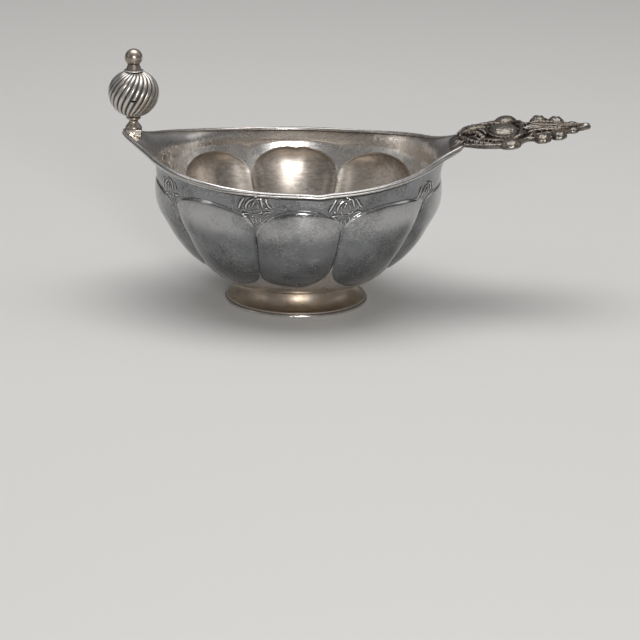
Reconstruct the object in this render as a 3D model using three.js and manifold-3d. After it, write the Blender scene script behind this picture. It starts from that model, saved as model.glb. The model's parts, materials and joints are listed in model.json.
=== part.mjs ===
// Two-handled silver bowl: a lobed oval body on a round spreading foot, with a cast
// plate handle on one lip and a twisted ball knob standing on the other.
// Millimetres, +Z up. +X runs towards the plate handle, -X towards the knob.
// Every size is set out from the middle of the foot, on the table. At the end the bowl
// is moved along X, so that the origin lies under the middle of its whole length.

import * as THREE from "three";
import * as BufferGeometryUtils from "three/addons/utils/BufferGeometryUtils.js";
import Module from "manifold-3d";

const wasm = await Module();
wasm.setup();

// Body sizes
const bodyHalfLength = 54.3;
const bodyHalfWidth = 51.6;
const rimHeight = 55;
const plainBand = 5;
const wall = 1.0;

// Foot sizes
const footRadius = 27.5;
const footHeight = 8;
const neckRadius = 21.5;
const footSheet = 0.8;
const flangeWidth = 4;
const flareBendOut = 0.6;
const flareBendUp = 1;
const footWireHeight = 1.1;
const footWireWidth = 1.6;
const footWireRound = 0.3;
const brimSetback = 0.6;

// Lobe sizes: angles are measured from the long axis, heights from the foot or the plain band
const endLobeHalfAngle = 28;
const frontLobeHalfAngle = 20;
const lobeAboveFoot = 5.8;
const creaseAboveFoot = 9.5;
const creaseBelowBand = 14;
const lobeBelowBand = 3.5;
const lobeBulge = 2.7;
const lobeEdgeStep = 1.1;
const lobeEdgeWidth = 0.7;
const lobeWidestShare = 0.45;
const lobeFullness = 2.4;

// Lip sizes: how far each end leans out past the body, and how far it rises
const handleLipFlare = 1.5;
const handleLipReach = 8.5;
const handleLipHalfWidth = 10.4;
const handleLipLean = 14;
const handleLipSpread = 11;
const handleLipRound = 1.2;
const handleLipRise = 8.1;
const handleLipSweep = 2.6;
const knobLipFlare = 5.5;
const knobLipReach = 12.8;
const knobLipSpread = 9;
const knobLipRise = 9.7;
const knobLipSweep = 4;

// Shape of the flare over the shoulder: it climbs first, then leans out, then climbs again
const flareClimb = 0.6;
const flareLean = 0.4;
const flareLastClimb = 0.17;

// Rim moulding sizes
const mouldingDepth = 1.2;
const mouldingHeight = 1.9;
const mouldingGroove = 0.35;
const mouldingGap = 0.2;
const solderGap = 0.1;

// Cast handle sizes
const handleLength = 48.2;
const handleThickness = 1.8;
const handleTilt = 6.5;
const handleTopAboveLip = 2.5;
const handleSeatGap = 0.3;
const tongueLength = 6;
const tongueHalfWidth = 7;
const tongueThickness = 1.4;
const tongueRootLength = 3;
const eggFromRoot = 14.8;
const eggLength = 12.6;
const eggWidth = 14;
const eggHeight = 4.6;
const slotFromRoot = 31.5;
const slotFromMiddle = 5.6;
const slotLength = 8;
const slotWidth = 1.4;
const tipRadius = 2.2;
const tipHeight = 1.6;

// Half of the handle's outline, from its root: distance out and distance from the middle
const handleSide = [
  [0, 10.8],
  [3.3, 13.9],
  [7.1, 16],
  [10.8, 17.2],
  [15, 17.6],
  [20, 15],
  [23.4, 11.3],
  [27, 12],
  [32, 10.2],
  [36.5, 7],
  [41, 4],
  [46, 1.9],
];

// The domed lumps along each side: distance out, distance from the middle, radius, height
const handleLumps = [
  [16.5, 16.6, 4.0, 2.9],
  [28.9, 12.7, 3.3, 2.5],
  [35.2, 10.1, 3.2, 2.3],
  [41, 3.8, 2.2, 1.7],
];

// Knob sizes, set out along the knob's own upright axis
const knobAxisSetback = 4.2;
const seatLength = 6.3;
const seatHalfWidth = 3.1;
const seatRise = 1.4;
const seatEdge = 0.3;
const stemDomeRadius = 3.0;
const stemDomeHeight = 2.2;
const stemRadius = 1.65;
const stemHeight = 3.6;
const lowerCollarRadius = 2.6;
const lowerCollarHeight = 0.9;
const ballRadius = 9.65;
const ballWall = 0.9;
const upperHalfSquash = 0.88;
const lowerHoleRadius = 2.0;
const upperHoleRadius = 3.3;
const ventWidth = 3.2;
const ventHeight = 1.2;
const ventDrop = 2.6;
const upperCollarRadius = 3.75;
const upperFlangeHeight = 0.6;
const upperNeckRadius = 2.2;
const upperNeckFlare = 0.7;
const upperCollarHeight = 2.7;
const finialRadius = 3.35;

// Mesh fineness
const columnsPerLobe = 12;
const columnsOnHandleLip = 2;
const roundSegments = 48;
const smallSegments = 24;

// Levels that follow from the sizes
const shoulderHeight = rimHeight - plainBand;
const lobeBottom = footHeight + lobeAboveFoot;
const creaseBottom = footHeight + creaseAboveFoot;
const creaseTop = shoulderHeight - creaseBelowBand;
const lobeTop = shoulderHeight - lobeBelowBand;
const handleLipEnd = bodyHalfLength + handleLipReach;
const knobLipEnd = bodyHalfLength + knobLipReach;
const knobX = knobAxisSetback - knobLipEnd;
const seatTop = rimHeight + knobLipRise + seatRise;
const stemTop = seatTop + stemHeight;
const ballBottom = stemTop + lowerCollarHeight + solderGap;
const ballCentre = ballBottom + Math.sqrt(ballRadius ** 2 - lowerHoleRadius ** 2);
const ballTop = ballCentre + upperHalfSquash * Math.sqrt(ballRadius ** 2 - upperHoleRadius ** 2);
const upperCollarBottom = ballTop + solderGap;
const finialBottom = upperCollarBottom + upperCollarHeight;

const degree = Math.PI / 180;

// Height shares from the foot to the shoulder, and the share of the body's swell there
const bodyProfile = [
  [0, 0],
  [0.067, 0.271],
  [0.238, 0.509],
  [0.476, 0.72],
  [0.762, 0.902],
  [1, 1],
];

// Pieces of plain mathematics

// A smooth curve through points that are sorted by their first number.
function smoothThrough(points, x) {
  const last = points.length - 1;
  const slope = (i) => {
    const before = points[Math.max(i - 1, 0)];
    const after = points[Math.min(i + 1, last)];
    return (after[1] - before[1]) / (after[0] - before[0]);
  };
  let i = 0;
  while (i < last - 1 && x > points[i + 1][0]) i += 1;
  const width = points[i + 1][0] - points[i][0];
  const t = (x - points[i][0]) / width;
  const start = (1 + 2 * t) * (1 - t) ** 2 * points[i][1] + t * (1 - t) ** 2 * width * slope(i);
  const end = t * t * (3 - 2 * t) * points[i + 1][1] + t * t * (t - 1) * width * slope(i + 1);
  return start + end;
}

// The smaller of two lengths, with the corner between them rounded.
function softMinimum(a, b, radius) {
  const blend = Math.max(radius - Math.abs(a - b), 0) / radius;
  return Math.min(a, b) - (blend * blend * radius) / 4;
}

function ovalRadius(halfLength, halfWidth, angle) {
  return (halfLength * halfWidth) / Math.hypot(halfWidth * Math.cos(angle), halfLength * Math.sin(angle));
}

// The body's outer surface

// Where a turn lies across its lobe, from -1 at one crease to 1 at the next. Both sides are alike.
function lobeAt(turn) {
  const end = endLobeHalfAngle;
  const creases = [-end, end, 90 - frontLobeHalfAngle, 90 + frontLobeHalfAngle, 180 - end, 180 + end];
  const folded = Math.min(turn, 360 - turn);
  const next = creases.findIndex((crease) => folded < crease);
  const middle = (creases[next - 1] + creases[next]) / 2;
  const across = (folded - middle) / (creases[next] - middle);
  return Math.min(Math.max(across, -1), 1);
}

function lobeLowerEdge(across) {
  return creaseBottom - (creaseBottom - lobeBottom) * Math.sqrt(1 - across * across);
}

function lobeUpperEdge(across) {
  return creaseTop + (lobeTop - creaseTop) * Math.sqrt(1 - across * across);
}

// How far a lobe stands out of the body, at a share of its width and of its height.
function lobeSwell(across, up) {
  const rise = 1 - Math.max(1 - up / lobeWidestShare, 0) ** 2;
  const fall = Math.max((up - lobeWidestShare) / (1 - lobeWidestShare), 0) ** 2;
  const middleSwell = lobeBulge * rise - (lobeBulge - lobeEdgeStep) * fall;
  return middleSwell * (1 - Math.abs(across) ** lobeFullness);
}

// How far the rim lies from the middle, in the direction of a bearing from 0 to a full turn.
function lipReach(bearing) {
  const fromHandle = Math.min(bearing, 2 * Math.PI - bearing);
  if (fromHandle < Math.PI / 2) {
    const oval = ovalRadius(bodyHalfLength + handleLipFlare, bodyHalfWidth, bearing);
    const lean = handleLipLean * Math.exp(-((fromHandle / (handleLipSpread * degree)) ** 2));
    return softMinimum(oval + lean, handleLipEnd / Math.cos(fromHandle), handleLipRound);
  }
  const fromKnob = Math.abs(Math.PI - bearing);
  const oval = ovalRadius(bodyHalfLength + knobLipFlare, bodyHalfWidth, bearing);
  const spoon = knobLipReach - knobLipFlare;
  return oval + spoon * Math.exp(-((fromKnob / (knobLipSpread * degree)) ** 2));
}

function rimLevel(x) {
  if (x > 0) return rimHeight + handleLipRise * (x / handleLipEnd) ** handleLipSweep;
  return rimHeight + knobLipRise * (-x / knobLipEnd) ** knobLipSweep;
}

function rimPoint(turn) {
  const raw = Math.atan2(bodyHalfWidth * Math.sin(turn), bodyHalfLength * Math.cos(turn));
  const bearing = (raw + 2 * Math.PI) % (2 * Math.PI);
  const reach = lipReach(bearing);
  const x = reach * Math.cos(bearing);
  return new THREE.Vector3(x, reach * Math.sin(bearing), rimLevel(x));
}

// The body without its lobes: below the shoulder by height, above it by a share of the flare.
function bodyBelowShoulder(turn, height) {
  const share = (height - footHeight) / (shoulderHeight - footHeight);
  const swell = smoothThrough(bodyProfile, share);
  const x = Math.cos(turn) * (neckRadius + swell * (bodyHalfLength - neckRadius));
  const y = Math.sin(turn) * (neckRadius + swell * (bodyHalfWidth - neckRadius));
  return new THREE.Vector3(x, y, height);
}

function bodyAboveShoulder(turn, share) {
  const start = bodyBelowShoulder(turn, shoulderHeight);
  const end = rimPoint(turn);
  const rise = end.z - start.z;
  const lower = start.clone();
  lower.z += flareClimb * rise;
  const upper = start.clone().lerp(end, flareLean);
  upper.z = end.z - flareLastClimb * rise;
  return new THREE.CubicBezierCurve3(start, lower, upper, end).getPoint(share);
}

// A place on the plain body, where level 0 to 1 climbs to the shoulder and 1 to 2 to the rim.
function bodySurface(turn, level) {
  if (level > 1) return bodyAboveShoulder(turn, level - 1);
  return bodyBelowShoulder(turn, footHeight + level * (shoulderHeight - footHeight));
}

function bodyNormal(turn, level) {
  const turnStep = 0.2 * degree;
  const levelStep = 0.002;
  const low = Math.max(level - levelStep, 0);
  const high = Math.min(level + levelStep, 2);
  const along = bodySurface(turn + turnStep, level).sub(bodySurface(turn - turnStep, level));
  const up = bodySurface(turn, high).sub(bodySurface(turn, low));
  return along.cross(up).normalize();
}

// The level that lies a given distance down the wall from the rim.
function levelBelowRim(turn, drop) {
  const step = 0.01;
  let level = 2;
  let walked = 0;
  while (walked < drop) {
    walked += bodySurface(turn, level).distanceTo(bodySurface(turn, level - step));
    level -= step;
  }
  return level;
}

function levelOfHeight(height) {
  return (height - footHeight) / (shoulderHeight - footHeight);
}

// The levels of one column's rows from the neck to the rim, each with the lobe's swell.
function wallRows(across) {
  const low = lobeLowerEdge(across);
  const high = lobeUpperEdge(across);
  const rows = [];
  for (const share of [0, 0.5]) {
    rows.push({ level: levelOfHeight(footHeight + share * (low - footHeight)), swell: 0 });
  }
  for (const up of [0, 0.12, 0.28, 0.45, 0.65, 0.85, 1]) {
    rows.push({ level: levelOfHeight(low + up * (high - low)), swell: lobeSwell(across, up) });
  }
  const ledge = high + lobeEdgeWidth;
  for (const share of [0, 0.5]) {
    rows.push({ level: levelOfHeight(ledge + share * (shoulderHeight - ledge)), swell: 0 });
  }
  for (const share of [0, 0.35, 0.6, 0.8, 1]) rows.push({ level: 1 + share, swell: 0 });
  return rows;
}

// The turn of every upright column round the body, with the handle lip's corners on columns.
const lipCorner = Math.atan2(handleLipHalfWidth, handleLipEnd) / degree;

function columnTurns() {
  const evenly = (from, to, count) => {
    return Array.from({ length: count }, (_, i) => from + ((to - from) * i) / count);
  };
  const front = 90 - frontLobeHalfAngle;
  const half = [
    ...evenly(0, lipCorner, columnsOnHandleLip),
    ...evenly(lipCorner, endLobeHalfAngle, columnsPerLobe / 2 - columnsOnHandleLip),
    ...evenly(endLobeHalfAngle, front, columnsPerLobe),
    ...evenly(front, 180 - front, columnsPerLobe),
    ...evenly(180 - front, 180 - endLobeHalfAngle, columnsPerLobe),
    ...evenly(180 - endLobeHalfAngle, 180, columnsPerLobe / 2),
  ];
  const mirrored = half.slice(1).map((turn) => 360 - turn);
  return [...half, 180, ...mirrored.reverse()];
}

// Meshes

function meshGeometry(points, faces) {
  const geometry = new THREE.BufferGeometry();
  const numbers = points.flatMap((p) => [p.x, p.y, p.z]);
  geometry.setAttribute("position", new THREE.Float32BufferAttribute(numbers, 3));
  geometry.setIndex(faces.flat());
  return geometry;
}

// Joins rings of points, each closed on itself, into a skin.
function skinFaces(ringCount, ringLength) {
  const faces = [];
  for (let ring = 0; ring < ringCount - 1; ring += 1) {
    for (let i = 0; i < ringLength; i += 1) {
      const a = ring * ringLength + i;
      const b = ring * ringLength + ((i + 1) % ringLength);
      faces.push([a, b, b + ringLength], [a, b + ringLength, a + ringLength]);
    }
  }
  return faces;
}

function toSolid(geometry) {
  const bare = geometry.clone();
  bare.deleteAttribute("normal");
  bare.deleteAttribute("uv");
  const merged = BufferGeometryUtils.mergeVertices(bare, 1e-4);
  const vertProperties = new Float32Array(merged.attributes.position.array);
  const triVerts = new Uint32Array(merged.index.array);
  return new wasm.Manifold(new wasm.Mesh({ numProp: 3, vertProperties, triVerts }));
}

function fromSolid(solid) {
  const mesh = solid.getMesh();
  const geometry = new THREE.BufferGeometry();
  geometry.setAttribute("position", new THREE.BufferAttribute(new Float32Array(mesh.vertProperties), 3));
  geometry.setIndex(new THREE.BufferAttribute(new Uint32Array(mesh.triVerts), 1));
  return geometry;
}

// A turned piece from [radius, height] pairs, which run with the outside on their right.
function turned(profile, segments) {
  const geometry = new THREE.LatheGeometry(profile.map(([r, z]) => new THREE.Vector2(r, z)), segments);
  geometry.rotateX(Math.PI / 2);
  return geometry;
}

// A slab whose outline lies in the XZ plane, centred on Y = 0.
function uprightSlab(outline, halfWidth) {
  const shape = new THREE.Shape(outline.map(([x, z]) => new THREE.Vector2(x, z)));
  const geometry = new THREE.ExtrudeGeometry(shape, { depth: 2 * halfWidth, bevelEnabled: false });
  geometry.rotateX(Math.PI / 2);
  geometry.translate(0, halfWidth, 0);
  return geometry;
}

// Body

function bodyGeometry() {
  const turns = columnTurns();
  const columns = turns.map((turn) => {
    return wallRows(lobeAt(turn)).map((row) => {
      const angle = turn * degree;
      const normal = bodyNormal(angle, row.level);
      const plain = bodySurface(angle, row.level);
      const outer = plain.clone().addScaledVector(normal, row.swell);
      const inner = plain.clone().addScaledVector(normal, row.swell - wall);
      return { outer, inner };
    });
  });
  const rowCount = columns[0].length;
  const ring = (row, side) => columns.map((column) => column[row][side]);
  const floorTop = footHeight + wall;
  const innerNeck = turns.map((turn) => {
    const angle = turn * degree;
    return new THREE.Vector3(neckRadius * Math.cos(angle), neckRadius * Math.sin(angle), floorTop);
  });
  const rings = [];
  for (let row = 0; row < rowCount; row += 1) rings.push(ring(row, "outer"));
  for (let row = rowCount - 1; row > 0; row -= 1) rings.push(ring(row, "inner"));
  rings.push(innerNeck);
  const points = rings.flat();
  const faces = skinFaces(rings.length, turns.length);
  const under = points.push(new THREE.Vector3(0, 0, footHeight)) - 1;
  const inside = points.push(new THREE.Vector3(0, 0, floorTop)) - 1;
  const lastRing = (rings.length - 1) * turns.length;
  turns.forEach((_, i) => {
    const next = (i + 1) % turns.length;
    faces.push([under, next, i]);
    faces.push([inside, lastRing + i, lastRing + next]);
  });
  return meshGeometry(points, faces);
}

// Rim moulding: a drawn wire with two beads, which stops at the corners of the handle lip

function rimWireGeometry() {
  const bead = mouldingHeight / 4;
  const section = [
    [0, 0],
    [0.5 * mouldingDepth, 0],
    [mouldingDepth, bead],
    [mouldingDepth - mouldingGroove, 2 * bead],
    [mouldingDepth, 3 * bead],
    [0.5 * mouldingDepth, mouldingHeight],
    [0, mouldingHeight],
  ];
  const turns = columnTurns().filter((turn) => turn > lipCorner - 0.01 && turn < 360 - lipCorner + 0.01);
  const rings = turns.map((turn) => {
    return section.map(([depth, drop]) => {
      const level = levelBelowRim(turn * degree, drop);
      const out = bodyNormal(turn * degree, level);
      return bodySurface(turn * degree, level).addScaledVector(out, depth + mouldingGap);
    });
  });
  const faces = skinFaces(rings.length, section.length);
  const last = (rings.length - 1) * section.length;
  for (let i = 1; i < section.length - 1; i += 1) {
    faces.push([0, i + 1, i]);
    faces.push([last, last + i, last + i + 1]);
  }
  return meshGeometry(rings.flat(), faces);
}

// Foot

function footGeometry() {
  const brimRadius = footRadius - brimSetback;
  const seatRadius = footRadius - footWireWidth;
  const brimTop = footWireHeight + footSheet;
  const flare = (inset) => {
    const top = new THREE.Vector2(neckRadius - inset, footHeight - inset);
    const bend = new THREE.Vector2(neckRadius + flareBendOut - inset, brimTop + flareBendUp - inset);
    const bottom = new THREE.Vector2(brimRadius - inset, brimTop - inset);
    const curve = new THREE.QuadraticBezierCurve(top, bend, bottom);
    return curve.getPoints(6).map((p) => [p.x, p.y]);
  };
  const inside = flare(footSheet).filter(([radius]) => radius < seatRadius - footSheet / 2);
  const profile = [
    ...inside,
    [seatRadius, footWireHeight],
    [brimRadius, footWireHeight],
    ...flare(0).reverse(),
    [neckRadius - flangeWidth, footHeight],
    [neckRadius - flangeWidth, footHeight - footSheet],
  ];
  profile.push(profile[0]);
  return turned(profile, roundSegments);
}

function footWireGeometry() {
  const inner = footRadius - footWireWidth;
  const profile = [
    [inner, 0],
    [footRadius - footWireRound, 0],
    [footRadius, footWireRound],
    [footRadius, footWireHeight - footWireRound],
    [footRadius - footWireRound, footWireHeight],
    [inner, footWireHeight],
    [inner, 0],
  ];
  return turned(profile, roundSegments);
}

// Cast handle

// The lip's inside line along the middle plane, from the wall out to the lip's end.
function lipLine(turn, gap) {
  const points = [];
  for (let share = 0.4; share < 1.001; share += 0.05) {
    const level = 1 + Math.min(share, 1);
    const point = bodySurface(turn, level).addScaledVector(bodyNormal(turn, level), -wall - gap);
    points.push([point.x, point.z]);
  }
  return points;
}

function lastPoint(points) {
  return points[points.length - 1];
}

// The handle is laid out flat from its root, then tilted and set on the lip's end.
const handleRoot = handleLipEnd + handleSeatGap;
const plateTop = rimLevel(handleLipEnd) + handleTopAboveLip;
const plateBottom = plateTop - handleThickness;
const handlePlace = new THREE.Matrix4().makeRotationY(-handleTilt * degree);
handlePlace.setPosition(handleRoot, 0, plateBottom);

function handlePlate() {
  const near = handleSide.map(([x, y]) => new THREE.Vector2(x, -y));
  const far = handleSide.map(([x, y]) => new THREE.Vector2(x, y)).reverse();
  const outline = new THREE.Shape();
  outline.moveTo(near[0].x, near[0].y);
  outline.splineThru(near.slice(1));
  outline.lineTo(far[0].x, far[0].y);
  outline.splineThru(far.slice(1));
  outline.closePath();
  const extrusion = { depth: handleThickness, bevelEnabled: false, curveSegments: 3 };
  return new THREE.ExtrudeGeometry(outline, extrusion);
}

function handleLump(x, y, radiusX, radiusY, height) {
  const lump = new THREE.SphereGeometry(1, 12, 6);
  lump.rotateX(Math.PI / 2);
  lump.scale(radiusX, radiusY, height);
  return toSolid(lump.translate(x, y, handleThickness / 2));
}

// The tongue lies on the lip's inside and runs out into the plate.
function handleTongue() {
  const onLip = (gap) => lipLine(0, gap).filter(([x]) => x > handleRoot - tongueLength);
  const under = onLip(handleSeatGap);
  const rise = tongueRootLength * Math.tan(handleTilt * degree);
  const outline = [
    ...under,
    [handleRoot, lastPoint(under)[1]],
    [handleRoot, plateBottom],
    [handleRoot + tongueRootLength, plateBottom + rise],
    [handleRoot + tongueRootLength, plateTop + rise],
    ...onLip(handleSeatGap + tongueThickness).reverse(),
  ];
  return uprightSlab(outline, tongueHalfWidth);
}

// The relief is built on the flat plate, cut level along the plate's underside, and then tilted.
function handleGeometry() {
  let relief = toSolid(handlePlate());
  const eggRise = eggHeight - handleThickness / 2;
  relief = relief.add(handleLump(eggFromRoot, 0, eggLength / 2, eggWidth / 2, eggRise));
  relief = relief.add(handleLump(handleLength - tipRadius, 0, tipRadius, tipRadius, tipHeight));
  for (const side of [-1, 1]) {
    for (const [x, y, radius, height] of handleLumps) {
      relief = relief.add(handleLump(x, side * y, radius, radius, height));
    }
    const slot = new THREE.BoxGeometry(slotLength, slotWidth, 4 * handleThickness);
    relief = relief.subtract(toSolid(slot.translate(slotFromRoot, side * slotFromMiddle, 0)));
  }
  const cast = fromSolid(relief.trimByPlane([0, 0, 1], 0)).applyMatrix4(handlePlace);
  return fromSolid(toSolid(cast).add(toSolid(handleTongue())));
}

// Knob

// A wedge with a level top, cut below to the slope of the lip.
function knobSeatGeometry() {
  const inner = knobX + seatLength / 2;
  const outer = knobX - seatLength / 2;
  const fits = ([x, z]) => x < inner && x > outer && z < seatTop - seatEdge;
  const under = lipLine(Math.PI, solderGap).filter(fits);
  const outline = [[inner, seatTop], [inner, under[0][1]], ...under, [lastPoint(under)[0], seatTop]];
  return uprightSlab(outline, seatHalfWidth);
}

function knobStemGeometry() {
  const domeDepth = stemDomeRadius - stemRadius;
  const dome = new THREE.EllipseCurve(stemRadius, seatTop, domeDepth, stemDomeHeight, 0, Math.PI / 2);
  const profile = [[0, seatTop], ...dome.getPoints(5).map((p) => [p.x, p.y])];
  profile.push([stemRadius, stemTop], [0, stemTop]);
  return turned(profile, smallSegments).translate(knobX, 0, 0);
}

function lowerCollarGeometry() {
  const round = lowerCollarHeight / 2;
  const profile = [
    [0, stemTop],
    [lowerCollarRadius - round, stemTop],
    [lowerCollarRadius, stemTop + round],
    [lowerCollarRadius - round, stemTop + lowerCollarHeight],
    [0, stemTop + lowerCollarHeight],
  ];
  return turned(profile, smallSegments).translate(knobX, 0, 0);
}

// One half of the hollow ball, open at its pole by a hole and flat at its waist.
function ballHalfGeometry(holeRadius, isUpper) {
  const arc = (radius) => {
    const toHole = Math.acos(holeRadius / radius);
    const from = isUpper ? 0 : -toHole;
    const to = isUpper ? toHole : 0;
    const squash = isUpper ? upperHalfSquash : 1;
    const curve = new THREE.EllipseCurve(0, ballCentre, radius, squash * radius, from, to);
    return curve.getPoints(7).map((p) => [p.x, p.y]);
  };
  const outer = arc(ballRadius);
  const inner = arc(ballRadius - ballWall).reverse();
  return turned([...outer, ...inner, outer[0]], smallSegments).translate(knobX, 0, 0);
}

function lowerBallGeometry() {
  const cutDepth = 3 * ballWall;
  const slit = new THREE.BoxGeometry(ventWidth, cutDepth, ventHeight);
  slit.translate(knobX, -ballRadius + cutDepth / 3, ballCentre - ventDrop);
  return fromSolid(toSolid(ballHalfGeometry(lowerHoleRadius, false)).subtract(toSolid(slit)));
}

function upperCollarGeometry() {
  const round = upperFlangeHeight / 2;
  const flangeTop = upperCollarBottom + upperFlangeHeight;
  const profile = [
    [0, upperCollarBottom],
    [upperCollarRadius - round, upperCollarBottom],
    [upperCollarRadius, upperCollarBottom + round],
    [upperCollarRadius - round, flangeTop],
    [upperNeckRadius + upperNeckFlare, flangeTop],
    [upperNeckRadius, finialBottom],
    [0, finialBottom],
  ];
  return turned(profile, smallSegments).translate(knobX, 0, 0);
}

function finialGeometry() {
  const centre = finialBottom + Math.sqrt(finialRadius ** 2 - upperNeckRadius ** 2);
  const from = -Math.acos(upperNeckRadius / finialRadius);
  const arc = new THREE.EllipseCurve(0, centre, finialRadius, finialRadius, from, Math.PI / 2);
  const profile = [[0, finialBottom], ...arc.getPoints(9).map((p) => [p.x, p.y])];
  profile[profile.length - 1][0] = 0;
  return turned(profile, smallSegments).translate(knobX, 0, 0);
}

// The whole bowl

const bowl = new THREE.Group();

function addPiece(name, geometry, color, roughness) {
  const material = new THREE.MeshStandardMaterial({ color, roughness, metalness: 1 });
  const mesh = new THREE.Mesh(geometry, material);
  mesh.name = name;
  bowl.add(mesh);
}

addPiece("bowl_body", bodyGeometry(), 0xb9b2a6, 0.28);
addPiece("rim_wire", rimWireGeometry(), 0xc4bdb0, 0.25);
addPiece("foot", footGeometry(), 0xb9ac9b, 0.3);
addPiece("foot_wire", footWireGeometry(), 0xc0b5a5, 0.25);
addPiece("cast_handle", handleGeometry(), 0xaea698, 0.38);
addPiece("knob_seat", knobSeatGeometry(), 0xb5ab9d, 0.32);
addPiece("knob_stem", knobStemGeometry(), 0xb5ab9d, 0.32);
addPiece("knob_lower_collar", lowerCollarGeometry(), 0xb5ab9d, 0.32);
addPiece("ball_lower_half", lowerBallGeometry(), 0xb0a89c, 0.35);
addPiece("ball_upper_half", ballHalfGeometry(upperHoleRadius, true), 0xb0a89c, 0.35);
addPiece("knob_upper_collar", upperCollarGeometry(), 0xb5ab9d, 0.32);
addPiece("finial", finialGeometry(), 0xb5ab9d, 0.3);

const extent = new THREE.Box3().setFromObject(bowl);
bowl.position.x = -(extent.min.x + extent.max.x) / 2;

export default bowl;
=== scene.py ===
# Two-handled silver bowl: the looks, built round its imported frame.
# Metres in Blender, millimetres in every dictionary. Sizes start from the foot's middle.
import json
import math
from contextlib import contextmanager

import bpy
import numpy as np
from mathutils import Matrix, Vector, noise
from mathutils.bvhtree import BVHTree

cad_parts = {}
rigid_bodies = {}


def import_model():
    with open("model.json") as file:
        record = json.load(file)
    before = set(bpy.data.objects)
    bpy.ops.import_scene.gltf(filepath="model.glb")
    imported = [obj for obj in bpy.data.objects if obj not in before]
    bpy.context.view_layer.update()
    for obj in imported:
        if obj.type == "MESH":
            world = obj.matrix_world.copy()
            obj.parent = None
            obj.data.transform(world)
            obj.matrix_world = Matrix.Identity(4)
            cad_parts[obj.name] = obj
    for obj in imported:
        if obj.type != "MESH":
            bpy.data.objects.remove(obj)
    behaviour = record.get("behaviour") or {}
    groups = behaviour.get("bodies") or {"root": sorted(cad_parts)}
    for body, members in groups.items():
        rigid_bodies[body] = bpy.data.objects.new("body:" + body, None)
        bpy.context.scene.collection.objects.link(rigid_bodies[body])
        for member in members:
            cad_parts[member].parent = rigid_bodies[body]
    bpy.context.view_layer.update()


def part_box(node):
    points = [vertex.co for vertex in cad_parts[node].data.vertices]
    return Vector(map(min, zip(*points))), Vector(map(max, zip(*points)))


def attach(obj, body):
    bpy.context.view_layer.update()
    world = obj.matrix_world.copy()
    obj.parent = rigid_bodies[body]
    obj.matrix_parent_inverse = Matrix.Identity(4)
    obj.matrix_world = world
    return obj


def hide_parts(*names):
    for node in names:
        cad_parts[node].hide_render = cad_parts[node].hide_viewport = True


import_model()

mm = 0.001
degree = math.pi / 180
fullTurn = 2 * math.pi
footLow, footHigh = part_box("foot")
footMiddle = Vector(((footLow.x + footHigh.x) / 2, 0, 0))
scene = bpy.context.scene
scene.view_settings.view_transform = "Standard"

# Camera and stage

# cameraLens is in Blender's own names and units
cameraPlace = {"back": 1171, "up": 356, "yaw": 0.46, "pitch": 17.31, "roll": 1.18}
cameraLens = {"lens": 178.3, "sensor_width": 36, "clip_start": 0.02, "clip_end": 50}

# the sky's shades run from straight down, 0, to straight up, 1
studio = {
    "floorColor": (0.70, 0.69, 0.67, 1),
    "floorRoughness": 0.6,
    "floorRadius": 4000,
    "sky": ((0.45, 0.07), (0.56, 0.10), (0.80, 0.30), (1, 0.30)),
    "lampAim": (0, 0, 40),
}

# name: place, width, height (all mm) and watts
lamps = {
    "camera_box": ((170, -1150, 400), 250, 250, 5.0),
    "top_box": ((0, 60, 1000), 1100, 800, 6.5),
    "left_box": ((-950, -250, 480), 400, 700, 0.45),
    "right_box": ((900, 150, 560), 400, 700, 0.4),
}


def deselectAll():
    bpy.ops.object.select_all(action="DESELECT")


def named(piece, name):
    piece.name = name
    piece.data.name = name
    return piece


def added(operator, name, **settings):
    # what an operator adds, named and alone in the selection
    deselectAll()
    operator(**settings)
    return named(bpy.context.object, name)


def placeCamera():
    camera = added(bpy.ops.object.camera_add, "photo_camera")
    turn = Matrix.Rotation(-cameraPlace["yaw"] * degree, 4, "Z")
    tip = Matrix.Rotation((90 - cameraPlace["pitch"]) * degree, 4, "X")
    roll = Matrix.Rotation(cameraPlace["roll"] * degree, 4, "Z")
    spot = footMiddle + Vector((0, -cameraPlace["back"], cameraPlace["up"])) * mm
    camera.matrix_world = Matrix.Translation(spot) @ turn @ tip @ roll
    for key, value in cameraLens.items():
        setattr(camera.data, key, value)
    scene.camera = camera


def lightStage():
    end = footMiddle + Vector(studio["lampAim"]) * mm
    for name, (place, width, height, watts) in lamps.items():
        lamp = added(bpy.ops.object.light_add, name, type="AREA")
        lamp.data.shape = "ELLIPSE"
        lamp.data.size = width * mm
        lamp.data.size_y = height * mm
        lamp.data.energy = watts
        lamp.location = footMiddle + Vector(place) * mm
        lamp.rotation_euler = (end - lamp.location).to_track_quat("-Z", "Y").to_euler()


# Materials: one small class for a socket, so that shader maths reads as Python


class Wire:
    def __init__(self, paint, socket):
        self.paint = paint
        self.socket = socket

    def maths(self, operation, *others):
        inputs = dict(enumerate((self, *others)))
        return self.paint.add("ShaderNodeMath", {"operation": operation}, inputs)

    def __add__(self, other):
        return self.maths("ADD", other)

    def __sub__(self, other):
        return self.maths("SUBTRACT", other)

    def __rsub__(self, other):
        return self.paint.add("ShaderNodeMath", {"operation": "SUBTRACT"}, {0: other, 1: self})

    def __mul__(self, other):
        return self.maths("MULTIPLY", other)

    __radd__ = __add__
    __rmul__ = __mul__

    def clamp(self):
        return self.paint.add("ShaderNodeClamp", {}, {"Value": self})

    def step(self, low, high):
        # 0 below low and 1 above high, or the other way round where low is the larger
        values = {"Value": self, "From Min": low, "From Max": high}
        return self.paint.add("ShaderNodeMapRange", {"interpolation_type": "SMOOTHSTEP"}, values)


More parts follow.
